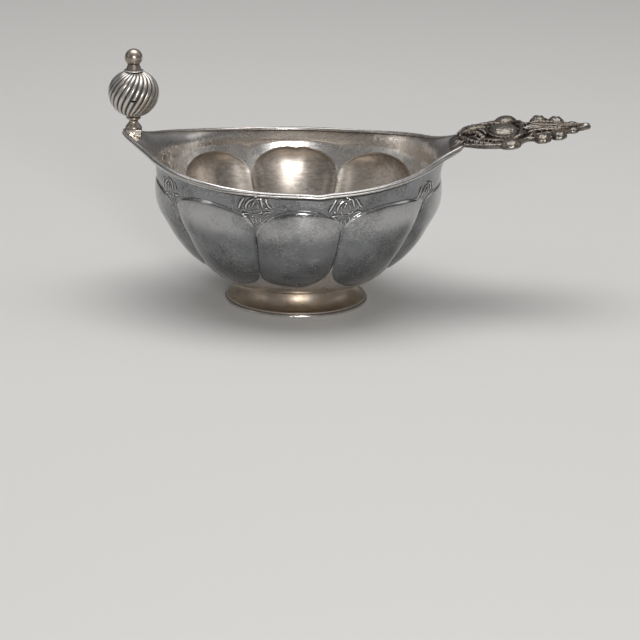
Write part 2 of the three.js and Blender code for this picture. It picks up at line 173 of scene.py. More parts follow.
class Paint:
    def __init__(self, target):
        target.use_nodes = True
        self.tree = target.node_tree
        self.tree.nodes.clear()

    def add(self, kind, settings, values, out=0):
        node = self.tree.nodes.new(kind)
        for key, value in settings.items():
            setattr(node, key, value)
        for key, value in values.items():
            if isinstance(value, Wire):
                self.tree.links.new(value.socket, node.inputs[key])
            else:
                node.inputs[key].default_value = value
        return Wire(self, node.outputs[out]) if node.outputs else None

    def place(self):
        return self.add("ShaderNodeTexCoord", {}, {}, "Object")

    def stretched(self, place, turn, scale):
        angles = tuple(a * degree for a in turn)
        return self.add("ShaderNodeMapping", {}, {"Vector": place, "Rotation": angles, "Scale": scale})

    def cloud(self, place, size, detail, rough=0.5):
        # size is the width of one blotch in millimetres
        inputs = {"Vector": place, "Scale": 1 / (size * mm), "Detail": detail, "Roughness": rough}
        return self.add("ShaderNodeTexNoise", {}, inputs)

    def mark(self, name):
        return self.add("ShaderNodeAttribute", {"attribute_name": name}, {}, "Fac")

    def blend(self, share, first, second):
        settings = {"data_type": "RGBA", "clamp_factor": True}
        return self.add("ShaderNodeMix", settings, {0: share, 6: first, 7: second}, 2)

    def finish(self, values):
        shader = self.add("ShaderNodeBsdfPrincipled", {}, values)
        self.add("ShaderNodeOutputMaterial", {}, {"Surface": shader})


# Old silver. clean and warm are the two tones of the bare metal, dull the film that lies on it in
# patches, and the fourth colour is that of tarnish in the hollows and of painted shade. blotch is in
# millimetres, and so is dent.
silverLooks = {
    "raised_silver": {
        "clean": (0.25, 0.26, 0.275, 1), "warm": (0.66, 0.58, 0.50, 1), "dull": (0.10, 0.10, 0.10, 1),
        "tarnishAndShade": (0.040, 0.032, 0.026, 1), "blotch": 15, "warmShare": 0.1, "tarnishAndShadeShare": 0.95,
        "film": 0.35, "mottle": 0.9, "roughness": 0.13, "dent": 0.045, "scratches": 1.0,
    },
    "drawn_silver": {
        "clean": (0.74, 0.725, 0.70, 1), "warm": (0.60, 0.53, 0.46, 1), "dull": (0.24, 0.22, 0.20, 1),
        "tarnishAndShade": (0.030, 0.024, 0.018, 1), "blotch": 12, "warmShare": 0.5, "tarnishAndShadeShare": 1.0,
        "film": 0.3, "mottle": 0.2, "roughness": 0.22, "dent": 0.012, "scratches": 0.6,
    },
    "foot_silver": {
        "clean": (0.54, 0.49, 0.43, 1), "warm": (0.52, 0.42, 0.325, 1), "dull": (0.28, 0.22, 0.16, 1),
        "tarnishAndShade": (0.050, 0.034, 0.022, 1), "blotch": 14, "warmShare": 0.7, "tarnishAndShadeShare": 0.9,
        "film": 0.4, "mottle": 0.9, "roughness": 0.25, "dent": 0.030, "scratches": 1.0,
    },
    "cast_silver": {
        "clean": (0.22, 0.20, 0.18, 1), "warm": (0.17, 0.135, 0.10, 1), "dull": (0.065, 0.052, 0.042, 1),
        "tarnishAndShade": (0.026, 0.018, 0.012, 1), "blotch": 7, "warmShare": 0.8, "tarnishAndShadeShare": 1.0,
        "film": 0.5, "mottle": 0.6, "roughness": 0.27, "dent": 0.03, "scratches": 0.4,
    },
    "knob_silver": {
        "clean": (0.52, 0.49, 0.455, 1), "warm": (0.44, 0.36, 0.285, 1), "dull": (0.20, 0.17, 0.14, 1),
        "tarnishAndShade": (0.040, 0.028, 0.020, 1), "blotch": 6, "warmShare": 0.6, "tarnishAndShadeShare": 1.0,
        "film": 0.4, "mottle": 0.3, "roughness": 0.26, "dent": 0.010, "scratches": 0.6,
    },
    "ball_silver": {
        "clean": (0.48, 0.46, 0.435, 1), "warm": (0.40, 0.33, 0.26, 1), "dull": (0.14, 0.125, 0.11, 1),
        "tarnishAndShade": (0.030, 0.022, 0.017, 1), "blotch": 8, "warmShare": 0.5, "tarnishAndShadeShare": 1.0,
        "film": 0.35, "mottle": 0.35, "roughness": 0.27, "dent": 0.008, "scratches": 0.5,
    },
}

# what every silver shares: clouds as width in millimetres, detail and roughness, the steps that cut
# patches out of them, and two tones
clouds = {"smudge": (4.5, 5.0, 0.62), "grain": (0.55, 3.0, 0.6), "pits": (0.9, 2.0, 0.5),
          "speck": (0.85, 3.0, 0.65), "dents": (7.5, 2.0, 0.45)}
brushCloud = (1.1, 3.0, 0.62)
brushStretch = (0.22, 1, 1)
linePatch = (11, 1.0)
steps = {"pits": (0.665, 0.74), "line": (0.018, 0.004), "speck": (0.38, 0.62), "patch": (0.36, 0.60),
         "brush": (0.40, 0.66), "film": (0.47, 0.62), "smear": (0.50, 0.68), "tone": (0.36, 0.62)}
wearAndHighlightTone = (0.82, 0.81, 0.80, 1)
lineTone = (0.78, 0.76, 0.73, 1)

# hairlines are contour lines of noise drawn out long in three directions: turn, stretch and rarity
hairlines = (
    ((20, 35, 15), (60, 1500, 900), 0.56),
    ((-35, 10, 70), (45, 1300, 1100), 0.60),
    ((65, -30, -40), (80, 1700, 800), 0.58),
)


def oldSilver(name):
    look = silverLooks[name]
    material = bpy.data.materials.new(name)
    paint = Paint(material)
    place = paint.place()
    # the mark darkens above 0, as tarnish and painted shade, and lightens below 0, as worn metal and
    # painted highlight
    tarnishWearAndPaintedLight = paint.mark("tarnishWearAndPaintedLight")
    inside = paint.mark("inside")
    wearAndHighlight = (0 - tarnishWearAndPaintedLight).clamp()
    blotch = paint.cloud(place, look["blotch"], 4.0, 0.55)
    smudge, grain, pits, speck, dents = (paint.cloud(place, *cloud) for cloud in clouds.values())
    pits = pits.step(*steps["pits"])
    lines = None
    for turn, stretch, rarity in hairlines:
        drawn = paint.stretched(place, turn, stretch)
        long = paint.add("ShaderNodeTexNoise", {}, {"Vector": drawn, "Scale": 1.0, "Detail": 1.0})
        patch = paint.cloud(paint.stretched(place, turn, (1, 1, 1)), *linePatch)
        line = (long - 0.5).maths("ABSOLUTE").step(*steps["line"]) * patch.step(rarity - 0.05, rarity)
        lines = line if lines is None else lines.maths("MAXIMUM", line)
    lines = lines * look["scratches"]
    brush = paint.cloud(paint.stretched(place, (0, 0, 0), brushStretch), *brushCloud)
    mottle = speck.step(*steps["speck"]) * blotch.step(*steps["patch"]) * (1 - inside)
    mottle = (mottle + brush.step(*steps["brush"]) * inside * 0.6) * look["mottle"] * (1 - wearAndHighlight)
    tarnishAndShade = (tarnishWearAndPaintedLight * 1.3 - (smudge - 0.5) * 0.9 * tarnishWearAndPaintedLight).clamp() * look["tarnishAndShadeShare"]
    film = (blotch.step(*steps["film"]) * 0.7 + smudge.step(*steps["smear"]) * 0.45).clamp()
    film = film * look["film"] * (1 - wearAndHighlight)
    tone = (smudge.step(*steps["tone"]) * look["warmShare"] + inside * 0.85).clamp()
    bare = paint.blend(tone, look["clean"], look["warm"])
    # worn metal and painted highlight take the pale tone
    bright = paint.blend(wearAndHighlight * 0.8, bare, wearAndHighlightTone)
    dulled = paint.blend((film + mottle * 0.55).clamp(), bright, look["dull"])
    # tarnish and painted shade take the dark colour
    tarnishedAndShaded = paint.blend((tarnishAndShade + pits * 0.5).clamp(), dulled, look["tarnishAndShade"])
    rough = look["roughness"] + tarnishAndShade * 0.3 + film * 0.15 + (smudge - 0.5) * 0.14 + lines * 0.12
    rough = rough + inside * 0.17 + mottle * 0.06 + (grain - 0.5) * 0.06
    fine = (grain * 0.0035 - pits * 0.02 - lines * 0.006 + speck * 0.010 * look["mottle"]) * mm
    height = dents * look["dent"] * mm + fine
    bump = {"Strength": 1.0, "Distance": 1.0, "Height": height}
    paint.finish({
        "Base Color": paint.blend(lines * 0.35, tarnishedAndShaded, lineTone),
        "Metallic": 1 - tarnishAndShade * 0.45,
        "Roughness": rough.clamp(),
        "Normal": paint.add("ShaderNodeBump", {}, bump),
        "Specular IOR Level": 0.4,
    })
    return material


def stageFloor():
    disc = {"vertices": 96, "radius": studio["floorRadius"] * mm, "fill_type": "NGON"}
    floor = added(bpy.ops.mesh.primitive_circle_add, "pale_floor", location=footMiddle, **disc)
    material = bpy.data.materials.new("pale_floor")
    Paint(material).finish({"Base Color": studio["floorColor"], "Roughness": studio["floorRoughness"]})
    floor.data.materials.append(material)


def skyLight():
    world = bpy.data.worlds.new("soft_studio")
    scene.world = world
    paint = Paint(world)
    direction = paint.add("ShaderNodeTexCoord", {}, {}, "Generated")
    height = paint.add("ShaderNodeSeparateXYZ", {}, {"Vector": direction}, 2)
    sky = paint.add("ShaderNodeValToRGB", {}, {"Fac": height * 0.5 + 0.5})
    ramp = sky.socket.node.color_ramp
    for _ in studio["sky"][2:]:
        ramp.elements.new(1)
    for element, (position, grey) in zip(ramp.elements, studio["sky"]):
        element.position = position
        element.color = (grey, grey, grey, 1)
    light = paint.add("ShaderNodeBackground", {}, {"Color": sky, "Strength": 1.0})
    paint.add("ShaderNodeOutputWorld", {}, {"Surface": light})


placeCamera()
stageFloor()
skyLight()
lightStage()
silver = {name: oldSilver(name) for name in silverLooks}
print("camera, stage and silver are ready")

# Mesh helpers

weldGap = 0.002


def selectOnly(piece):
    deselectAll()
    piece.select_set(True)
    bpy.context.view_layer.objects.active = piece


@contextmanager
def editing(piece):
    # edit mode, with the whole piece selected
    selectOnly(piece)
    bpy.ops.object.mode_set(mode="EDIT")
    bpy.ops.mesh.select_all(action="SELECT")
    yield
    bpy.ops.object.mode_set(mode="OBJECT")


def getFlat(piece):
    found = np.empty(len(piece.data.vertices) * 3, np.float32)
    piece.data.vertices.foreach_get("co", found)
    return found.reshape(-1, 3)


def setFlat(piece, places):
    # places as they are, for what is laid out before it goes to its place
    piece.data.vertices.foreach_set("co", np.asarray(places, np.float32).ravel())
    piece.data.update()


def getPoints(piece):
    return (getFlat(piece).astype(float) - np.array(footMiddle)) / mm


def setPoints(piece, points):
    setFlat(piece, np.asarray(points, float) * mm + np.array(footMiddle))


def addMark(piece, name, values):
    marks = piece.data.attributes
    mark = marks.get(name) or marks.new(name, "FLOAT", "POINT")
    mark.data.foreach_set("value", np.broadcast_to(values, len(piece.data.vertices)).astype(np.float32))


def closeSkin(piece):
    with editing(piece):
        bpy.ops.mesh.remove_doubles(threshold=weldGap * mm)
        bpy.ops.mesh.select_all(action="DESELECT")
        bpy.ops.mesh.select_non_manifold(extend=False, use_wire=False, use_boundary=True)
        bpy.ops.mesh.fill_holes(sides=0)
        bpy.ops.mesh.select_all(action="SELECT")
        bpy.ops.mesh.delete_loose()
        bpy.ops.mesh.select_all(action="SELECT")
        bpy.ops.mesh.normals_make_consistent(inside=False)


def skinOver(name, net, tarnishWearAndPaintedLight, inside=0, meetRows=True, meetColumns=True, put=setPoints):
    # a closed skin over rows and columns of points, whose last row and column can meet the first
    rows, columns = net.shape[:2]
    up, along = rows - (not meetRows), columns - (not meetColumns)
    piece = added(bpy.ops.mesh.primitive_grid_add, name, x_subdivisions=along, y_subdivisions=up, size=1)
    flat = getFlat(piece)
    column = np.rint((flat[:, 0] + 0.5) * along).astype(int) % columns
    row = np.rint((flat[:, 1] + 0.5) * up).astype(int) % rows
    put(piece, net[row, column])
    for mark, values in (("tarnishWearAndPaintedLight", tarnishWearAndPaintedLight), ("inside", inside)):
        addMark(piece, mark, np.broadcast_to(values, (rows, columns))[row, column])
    closeSkin(piece)
    return piece


def applyModifier(piece, kind, **settings):
    selectOnly(piece)
    modifier = piece.modifiers.new(kind.lower(), kind)
    for key, value in settings.items():
        setattr(modifier, key, value)
    bpy.ops.object.modifier_apply(modifier=modifier.name)


def cutAway(piece, cutter):
    applyModifier(piece, "BOOLEAN", operation="DIFFERENCE", object=cutter, solver="EXACT")
    bpy.data.objects.remove(cutter)


def ovalCutter(place, turn, scale, depth):
    add = bpy.ops.mesh.primitive_cylinder_add
    cutter = added(add, "cutter", vertices=32, radius=1, depth=depth, location=place)
    cutter.rotation_euler = turn
    cutter.scale = scale
    bpy.ops.object.transform_apply(location=True, rotation=True, scale=True)
    return cutter


def joinAll(pieces, name):
    deselectAll()
    for piece in pieces:
        piece.select_set(True)
    bpy.context.view_layer.objects.active = pieces[0]
    bpy.ops.object.join()
    return named(pieces[0], name)


def finishPiece(piece, slot, node, inside=None, smooth=None):
    if inside is not None:
        addMark(piece, "inside", inside)
    piece.data.materials.clear()
    piece.data.materials.append(silver[slot])
    selectOnly(piece)
    bpy.ops.object.transform_apply(location=True, rotation=True, scale=True)
    if smooth:
        bpy.ops.object.shade_smooth_by_angle(angle=smooth * degree)
    else:
        bpy.ops.object.shade_smooth()
    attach(piece, "root")
    if node:
        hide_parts(node)
    print(piece.name, sum(len(p.vertices) - 2 for p in piece.data.polygons), "triangles")


def spunPiece(name, section, steps, x=0):
    # a ring of points takes the section's places in the XZ plane and is spun a full turn
    piece = added(bpy.ops.mesh.primitive_circle_add, name, vertices=len(section))
    setPoints(piece, [(x + r, 0, z) for r, z in section])
    with editing(piece):
        centre = Vector((x * mm, 0, 0)) + footMiddle
        bpy.ops.mesh.spin(steps=steps, angle=fullTurn, center=centre, axis=(0, 0, 1))
    closeSkin(piece)
    return piece


def drawnOut(name, outline, way, put=setPoints):
    # a flat outline of points, drawn out one way
    piece = added(bpy.ops.mesh.primitive_circle_add, name, vertices=len(outline), fill_type="NGON")
    put(piece, outline)
    with editing(piece):
        bpy.ops.mesh.extrude_region_move(TRANSFORM_OT_translate={"value": way})
        bpy.ops.mesh.select_all(action="SELECT")
        bpy.ops.mesh.normals_make_consistent(inside=False)
    return piece


def unevenness(points, width=1, shift=(0, 0, 0)):
    return np.array([noise.noise(Vector(p) / width + Vector(shift)) for p in points])


def smoothRamp(x):
    t = np.clip(x, 0, 1)
    return t * t * (3 - 2 * t)


def bellCurve(x, middle, spread):
    return np.exp(-(((x - middle) / spread) ** 2))


# Body: the plain wall, as its maker would draw it, in full arrays

bowl = {
    "halfLength": 54.3,
    "halfWidth": 51.6,
    "rimHeight": 55,
    "shoulder": 50,
    "wall": 1.0,
    "footHeight": 8,
    "neckRadius": 21.5,
    "profile": [(0, 0), (0.067, 0.271), (0.238, 0.509), (0.476, 0.72), (0.762, 0.902), (1, 1)],
    "flareClimb": 0.6,
    "flareLean": 0.4,
    "flareLastClimb": 0.17,
    "handDents": 0.11,
    "rimDip": (8, 3.2, 0.45),
}
handleLip = {
    "end": 62.8, "flare": 1.5, "drawn": 14, "spread": 11, "rise": 8.1, "sweep": 2.6,
    "round": 1.2, "halfWidth": 10.4,
}
knobLip = {"end": 67.1, "flare": 5.5, "drawn": 7.3, "spread": 9, "rise": 9.7, "sweep": 4}

# The creases between the lobes, going round from the handle. Each has its turn and half its width in
# degrees and its lean in degrees for each centimetre of height. Then come the heights where the lobe
# before it rounds off, low and high, the same for the lobe after it, and the latter's bottom, top and
# columns. A crease leans about the height leanFrom.
creases = [
    (-28.0, 0.3, 0.2, (22, 44.5), (24, 44.5), 13.8, 48.2, 90),
    (27.6, 0.3, 0.5, (20, 38), (22, 36), 14.0, 46.8, 56),
    (71.8, 0.25, -0.4, (22, 36), (20, 36), 13.6, 46.5, 56),
    (112.0, 0.25, 0.3, (21, 36), (24, 36), 14.0, 46.6, 56),
    (152.5, 0.3, 0.2, (20, 35), (22, 38), 13.8, 47.2, 90),
    (208.0, 0.3, -0.3, (24, 38), (20, 38), 13.5, 48.2, 58),
    (250.9, 0.15, 1.0, (21, 38), (19, 33.5), 14.8, 47.8, 58),
    (288.6, 0.2, 0.3, (25, 38), (24, 38.5), 13.3, 48.3, 58),
]
leanFrom = 28

lobe = {
    "bulge": 2.7,
    "crown": (0.75, 0.15, 0.7),
    "edgeStep": 0.9,
    "edgeWidth": 1.1,
    "widest": 0.45,
    "fullness": 2.6,
    "lowStep": 0.42,
    "lowStepRise": 0.015,
    "creaseDepth": 0.22,
    "creaseWidth": 0.4,
    "darkWidth": 0.45,
    "sill": (0.28, 0.08),
    # the next two lay a painted highlight on the upper part of each lobe outside (start share, spread,
    # strength) and painted shade in the wells inside (millimetres from the crease, spread, strength)
    "paintedTopHighlight": (0.66, 0.2, 0.42),
    "wellShade": (2.6, 2.2, 0.42),
    "narrowCrease": (0.22, 0.55),
    "wander": 0.25,
    "columnWander": 0.35,
    "backNotch": (-0.02, 0.11, 0.7),
    "backLobe": 2,
}

again = [(turn + 360, *rest) for turn, *rest in creases[:2]]
lobes = []
for here, after in zip(creases, creases[1:] + again[:1]):
    start, end = here[0] + here[1], after[0] - after[1]
    sides = {"corners": [here[4], after[3]], "bottom": here[5], "top": here[6], "columns": here[7]}
    lobes.append({"middle": (start + end) / 2, "half": (end - start) / 2, "end": after[0], **sides})


def lobeValues(key):
    return np.array([item[key] for item in lobes], float)


def smoothThrough(points, x):
    knots = np.array(points, float)
    last = len(knots) - 1
    index = np.arange(last + 1)
    before = knots[np.maximum(index - 1, 0)]
    after = knots[np.minimum(index + 1, last)]
    slope = (after[:, 1] - before[:, 1]) / (after[:, 0] - before[:, 0])
    i = np.clip(np.searchsorted(knots[:, 0], x, side="left") - 1, 0, last - 1)
    width = knots[i + 1, 0] - knots[i, 0]
    t = (x - knots[i, 0]) / width
    start = (1 + 2 * t) * (1 - t) ** 2 * knots[i, 1] + t * (1 - t) ** 2 * width * slope[i]
    end = t * t * (3 - 2 * t) * knots[i + 1, 1] + t * t * (t - 1) * width * slope[i + 1]
    return start + end


def softMinimum(a, b, radius):
    blend = np.maximum(radius - np.abs(a - b), 0) / radius
    return np.minimum(a, b) - blend * blend * radius / 4


def drawnReach(lip, bearing, away):
    # the oval rim with its flare, drawn out where a lip is
    length, width = bowl["halfLength"] + lip["flare"], bowl["halfWidth"]
    oval = length * width / np.hypot(width * np.cos(bearing), length * np.sin(bearing))
    return oval + lip["drawn"] * bellCurve(away, 0, lip["spread"] * degree)


def lipReach(bearing):
    fromHandle = np.minimum(bearing, fullTurn - bearing)
    squareEnd = handleLip["end"] / np.maximum(np.cos(fromHandle), 0.05)
    handleHalf = softMinimum(drawnReach(handleLip, bearing, fromHandle), squareEnd, handleLip["round"])
    knobHalf = drawnReach(knobLip, bearing, np.abs(math.pi - bearing))
    return np.where(fromHandle < math.pi / 2, handleHalf, knobHalf)


def rimPoint(turn):
    bearing = np.arctan2(bowl["halfWidth"] * np.sin(turn), bowl["halfLength"] * np.cos(turn)) % fullTurn
    reach = lipReach(bearing)
    x = reach * np.cos(bearing)
    y = reach * np.sin(bearing)
    rise = 0
    for way, lip in ((x, handleLip), (-x, knobLip)):
        rise = rise + lip["rise"] * (np.maximum(way, 0) / lip["end"]) ** lip["sweep"]
    spot, spread, depth = bowl["rimDip"]
    dip = np.where(y < 0, depth * bellCurve(x, spot, spread), 0)
    return np.stack([x, y, bowl["rimHeight"] + rise - dip], -1)


def levelOfHeight(height):
    return (height - bowl["footHeight"]) / (bowl["shoulder"] - bowl["footHeight"])


def heightOfLevel(level):
    return bowl["footHeight"] + level * (bowl["shoulder"] - bowl["footHeight"])


def belowShoulder(turn, height):
    swell = smoothThrough(bowl["profile"], levelOfHeight(height))
    neck = bowl["neckRadius"]
    x = np.cos(turn) * (neck + swell * (bowl["halfLength"] - neck))
    y = np.sin(turn) * (neck + swell * (bowl["halfWidth"] - neck))
    return np.stack([x, y, height + 0 * x], -1)


def aboveShoulder(turn, share):
    start = belowShoulder(turn, np.full_like(turn, bowl["shoulder"]))
    end = rimPoint(turn)
    rise = end[..., 2] - start[..., 2]
    lower = start.copy()
    lower[..., 2] += bowl["flareClimb"] * rise
    upper = start + (end - start) * bowl["flareLean"]
    upper[..., 2] = end[..., 2] - bowl["flareLastClimb"] * rise
    t = share[..., None]
    return (1 - t) ** 3 * start + 3 * t * (1 - t) ** 2 * lower + 3 * t * t * (1 - t) * upper + t**3 * end


def plainWall(turn, level):
    # level 0 to 1 climbs from the foot to the shoulder, 1 to 2 from there to the rim
    over = aboveShoulder(turn, np.maximum(level - 1, 0))
    below = belowShoulder(turn, heightOfLevel(np.minimum(level, 1)))
    return np.where((level > 1)[..., None], over, below)


def levelsBelowRim(turn, drops):
    levels = np.linspace(2, 1.2, 81)
    path = plainWall(np.full(81, turn), levels)
    walked = np.concatenate([[0], np.cumsum(np.linalg.norm(np.diff(path, axis=0), axis=1))])
    return np.interp(drops, walked, levels)


def wallPoints(turn, level, offset):
    # the plain wall with its hand-made dents, and an offset out along its normal
    side, step = 0.2 * degree, 0.002
    plain = plainWall(turn, level)
    along = plainWall(turn + side, level) - plainWall(turn - side, level)
    up = plainWall(turn, np.minimum(level + step, 2)) - plainWall(turn, np.maximum(level - step, 0))
    out = np.cross(along, up)
    normal = out / np.linalg.norm(out, axis=-1, keepdims=True)
    dents = bowl["handDents"] * (unevenness(plain, 13) + 0.45 * unevenness(plain, 5, (7, 3, 1)))
    return plain + normal * (offset + dents)[..., None]


def leanShift(turn, height):
    # how far the creases near a turn have leaned over at a height, in radians
    whole = creases + again
    lean = np.interp(turn / degree, [c[0] for c in whole], [c[2] for c in whole])
    return lean * (np.minimum(height, bowl["shoulder"]) - leanFrom) / 10 * degree


def lobeEdges(across, number):
    corners = lobeValues("corners")[number, (across > 0).astype(int)]
    bottom = lobeValues("bottom")[number]
    top = lobeValues("top")[number]
    arch = np.sqrt(np.maximum(1 - across * across, 0))
    low = bottom + (corners[:, 0] - bottom) * (1 - arch)
    high = corners[:, 1] + (top - corners[:, 1]) * arch
    wander = unevenness([(a * 2.6, n * 5.3, 0.5) for a, n in zip(across, number)])
    high = high + lobe["wander"] * wander * arch
    low = low - lobe["wander"] * wander * arch
    spot, spread, depth = lobe["backNotch"]
    return low, high - np.where(number == lobe["backLobe"], depth * bellCurve(across, spot, spread), 0)


def lobeSwell(across, up, isInside):
    rise = 1 - np.maximum(1 - up / lobe["widest"], 0) ** 2
    past = np.maximum((up - lobe["widest"]) / (1 - lobe["widest"]), 0)
    fall = 0.35 * past**2 + 0.65 * past**6
    middle = lobe["bulge"] * rise - (lobe["bulge"] - lobe["edgeStep"]) * fall
    middle = middle + lobe["lowStep"] * np.clip(up / lobe["lowStepRise"], 0, 1) * (1 - up)
    spot, spread, lift = lobe["crown"]
    middle = middle + (not isInside) * lift * bellCurve(up, spot, spread)
    return middle * (1 - np.abs(across) ** lobe["fullness"])


# rows of one wall face from the neck to the rim: (zone, share of the zone, or millimetres in the sill)
wallZones = (
    [("neck", s) for s in (0, 0.05, 0.3, 0.6, 1)]
    + [("sill", d) for d in (0.5, 0.25, 0.08)]
    + [("lobe", s) for s in 0.5 - 0.5 * np.cos(np.linspace(0, math.pi, 29))]
    + [("ledge", s) for s in (0.15, 0.3, 0.5, 0.7, 0.85, 1)]
    + [("band", s) for s in (0.03, 0.1, 0.3, 0.6)]
    + [("flare", s) for s in np.linspace(0, 1, 12)]
)
sillDrop = 0.9

# marks of the zones, outside and inside: above 0 darkens, as tarnish and at the creases partly painted
# shade, and below 0 lightens, as worn metal; the neck outside and the band and flare inside (high) are
# lightened as painted highlight
zoneMarks = {"neck": (-0.3, 0.1), "crease": (0.6, 0.35), "high": (0, -0.8)}

# the rim's own rows: (millimetres under the edge, depth into the wall, mark); the rows just under the
# wire are darkened, partly as tarnish and partly as painted shade, and the top edge lightened as worn
# metal
rimRows = [
    (2.4, 0, 0.2), (2.05, 0, 0.9), (1.55, 0, 1), (1.2, 0, 1), (0.6, 0, 0.3), (0.25, 0, 0),
    (0.07, 0.07, -0.8), (0, 0.28, -1), (0, 0.72, -1), (0.07, 0.93, -0.6), (0.25, 1.0, 0.2),
    (0.45, 1.13, -0.3), (0.75, 1.2, -0.4), (1.02, 1.14, 0.1), (1.2, 1.02, 0.8), (1.35, 1.0, 0.7),
    (1.6, 1.0, 0), (2.2, 1.0, -0.4),
]
rimReach = 2.7

# the floor inside: radius, height above the plain floor, hollow mark
floorRings = (
    (21.5, 0, 0.08), (20.9, -0.12, 0.35), (20.4, -0.16, 0.35), (19.6, -0.05, 0.08),
    (15, 0.18, 0.08), (8, 0.32, 0.08), (0, 0.4, 0.08),
)


def wallRow(zone, share, lane, isInside):
    # the level, offset and hollow mark of one row at every column
    low, high, across = lane["low"], lane["high"], lane["across"]
    zero = 0 * low
    if zone == "neck":
        height = bowl["footHeight"] + share * (low - sillDrop - bowl["footHeight"])
        return levelOfHeight(height), zero, zero + (0.6 if share < 0.01 else zoneMarks["neck"][isInside])
    if zone == "sill":
        width, depth = lobe["sill"]
        near = math.exp(-((share / width) ** 2))
        return levelOfHeight(low - share), zero - (not isInside) * depth * near, zero + 0.6 * near
    dark = lane["dark"]
    if zone == "lobe":
        offset = lobeSwell(across, share + zero, isInside)
        tarnishWearAndPaintedLight = zoneMarks["crease"][isInside] * dark + 0.45 * (share < 0.002)
        if isInside:
            # inside, painted shade darkens each well near its creases and just under its top edge
            spot, spread, strength = lobe["wellShade"]
            shade = strength * bellCurve(lane["fromCrease"], spot, spread)
            tarnishWearAndPaintedLight = tarnishWearAndPaintedLight + shade + 0.4 * (share > 0.998)
        else:
            offset = offset - lobe["creaseDepth"] * bellCurve(lane["fromCrease"], 0, lobe["creaseWidth"])
            # outside, the upper part of each lobe is lightened: a painted highlight
            spot, spread, strength = lobe["paintedTopHighlight"]
            tarnishWearAndPaintedLight = tarnishWearAndPaintedLight - strength * smoothRamp((share - spot) / spread) * (1 - across**4)
        return levelOfHeight(low + share * (high - low)), offset, tarnishWearAndPaintedLight
    if zone == "ledge":
        height = high + share * (lane["ledge"] - high)
        offset = lobeSwell(across, zero + 1, isInside) * (1 - 0.3 * share - 0.7 * smoothRamp(share))
        # along each arch's ledge the lobe side is lightened and the band side darkened, partly as wear
        # and tarnish, partly as painted highlight and painted shade
        edge = 0.5 * (share > 0.9) - 0.5 * (share < 0.8)
        if isInside:
            offset = offset - 0.1 * math.sin(math.pi * share)
            edge = 0.6 if share > 0.9 else -0.6
        return levelOfHeight(height), offset, edge + 0.3 * dark
    mark = zero + zoneMarks["high"][isInside]
    if zone == "band":
        return levelOfHeight(lane["ledge"] + share * (bowl["shoulder"] - lane["ledge"])), zero, mark
    return 1 + share * (lane["rimLevel"] - 1), zero, mark


def makeBody():
    turns, across, number = [], [], []
    for k, item in enumerate(lobes):
        t = np.linspace(-1, 1, item["columns"] + 1)
        spread = 0.35 * t + 0.65 * np.sin(math.pi / 2 * t)
        turns += list(item["middle"] + item["half"] * spread) + [item["end"]]
        across += list(spread) + [1.0]
        number += [k] * (len(t) + 1)
    turn = np.array(turns) * degree
    across = np.array(across)
    number = np.array(number)
    columns = len(turn)
    low, high = lobeEdges(across, number)
    gap = np.array([c[1] for c in creases])
    gap = np.where(across > 0, np.roll(gap, -1)[number], gap[number])
    narrow, faint = lobe["narrowCrease"]
    drops = [row[0] for row in rimRows] + [rimReach]
    rimLevels = np.array([levelsBelowRim(t, drops) for t in turn]).T
    fromCrease = (1 - np.abs(across)) * lobeValues("half")[number] * degree * bowl["halfWidth"]
    lane = {
        "across": across,
        "low": low,
        "high": high,
        "ledge": np.minimum(high + lobe["edgeWidth"], bowl["shoulder"] - 0.15),
        "fromCrease": fromCrease,
        "dark": bellCurve(fromCrease, 0, lobe["darkWidth"]) * np.where(gap < narrow, faint, 1.0),
        "rimLevel": rimLevels[-1],
    }
    wall = bowl["wall"]
    rings, hollows, insides = [], [], []

    def keep(points, tarnishWearAndPaintedLight, inside):
        rings.append(points)
        hollows.append(np.broadcast_to(tarnishWearAndPaintedLight, columns))
        insides.append(np.full(columns, float(inside)))

    def disc(radius, height, tarnishWearAndPaintedLight, inside):
        points = [radius * np.cos(turn), radius * np.sin(turn), np.full(columns, height)]
        keep(np.stack(points, -1), tarnishWearAndPaintedLight, inside)

    def face(zone, share, isInside):
        level, offset, tarnishWearAndPaintedLight = wallRow(zone, share, lane, isInside)
        wander = unevenness([(l * 4, n * 3.1, 2.2) for l, n in zip(level, number)])
        moved = leanShift(turn, heightOfLevel(level)) * np.clip(level * 4, 0, 1)
        moved = moved * np.clip(2 - level, 0, 1)
        fade = np.clip((1 - level) * 3, 0, 1) * np.clip(level * 6, 0, 1)
        warm = {"neck": 0.95, "band": 0.8 * isInside, "flare": 0.8 * isInside}.get(zone, isInside)
        place = turn + moved + lobe["columnWander"] * degree * wander * fade
        keep(wallPoints(place, level, offset - wall * isInside), tarnishWearAndPaintedLight, warm)

    for radius in (0, 8, 17):
        disc(radius, bowl["footHeight"], 0.3, 0)
    for zone, share in wallZones:
        face(zone, share, False)
    for (_, depth, tarnishWearAndPaintedLight), level in zip(rimRows, rimLevels):
        keep(wallPoints(turn, level, np.full(columns, -depth * wall)), tarnishWearAndPaintedLight, 0.8 * (depth > 0.5))
    for zone, share in reversed(wallZones[1:]):
        face(zone, share, True)
    for radius, rise, tarnishWearAndPaintedLight in floorRings:
        disc(radius, bowl["footHeight"] + wall + rise, tarnishWearAndPaintedLight, 1)
    net, tarnishWearAndPaintedLight, inside = np.stack(rings), np.stack(hollows), np.stack(insides)
    body = skinOver("bowl_body_looks", net, tarnishWearAndPaintedLight, inside, meetRows=False)
    finishPiece(body, "raised_silver", "bowl_body")


makeBody()
print("the lobed body is raised")

# Rim wire: a small bead over a large one, drawn along the rim under its edge

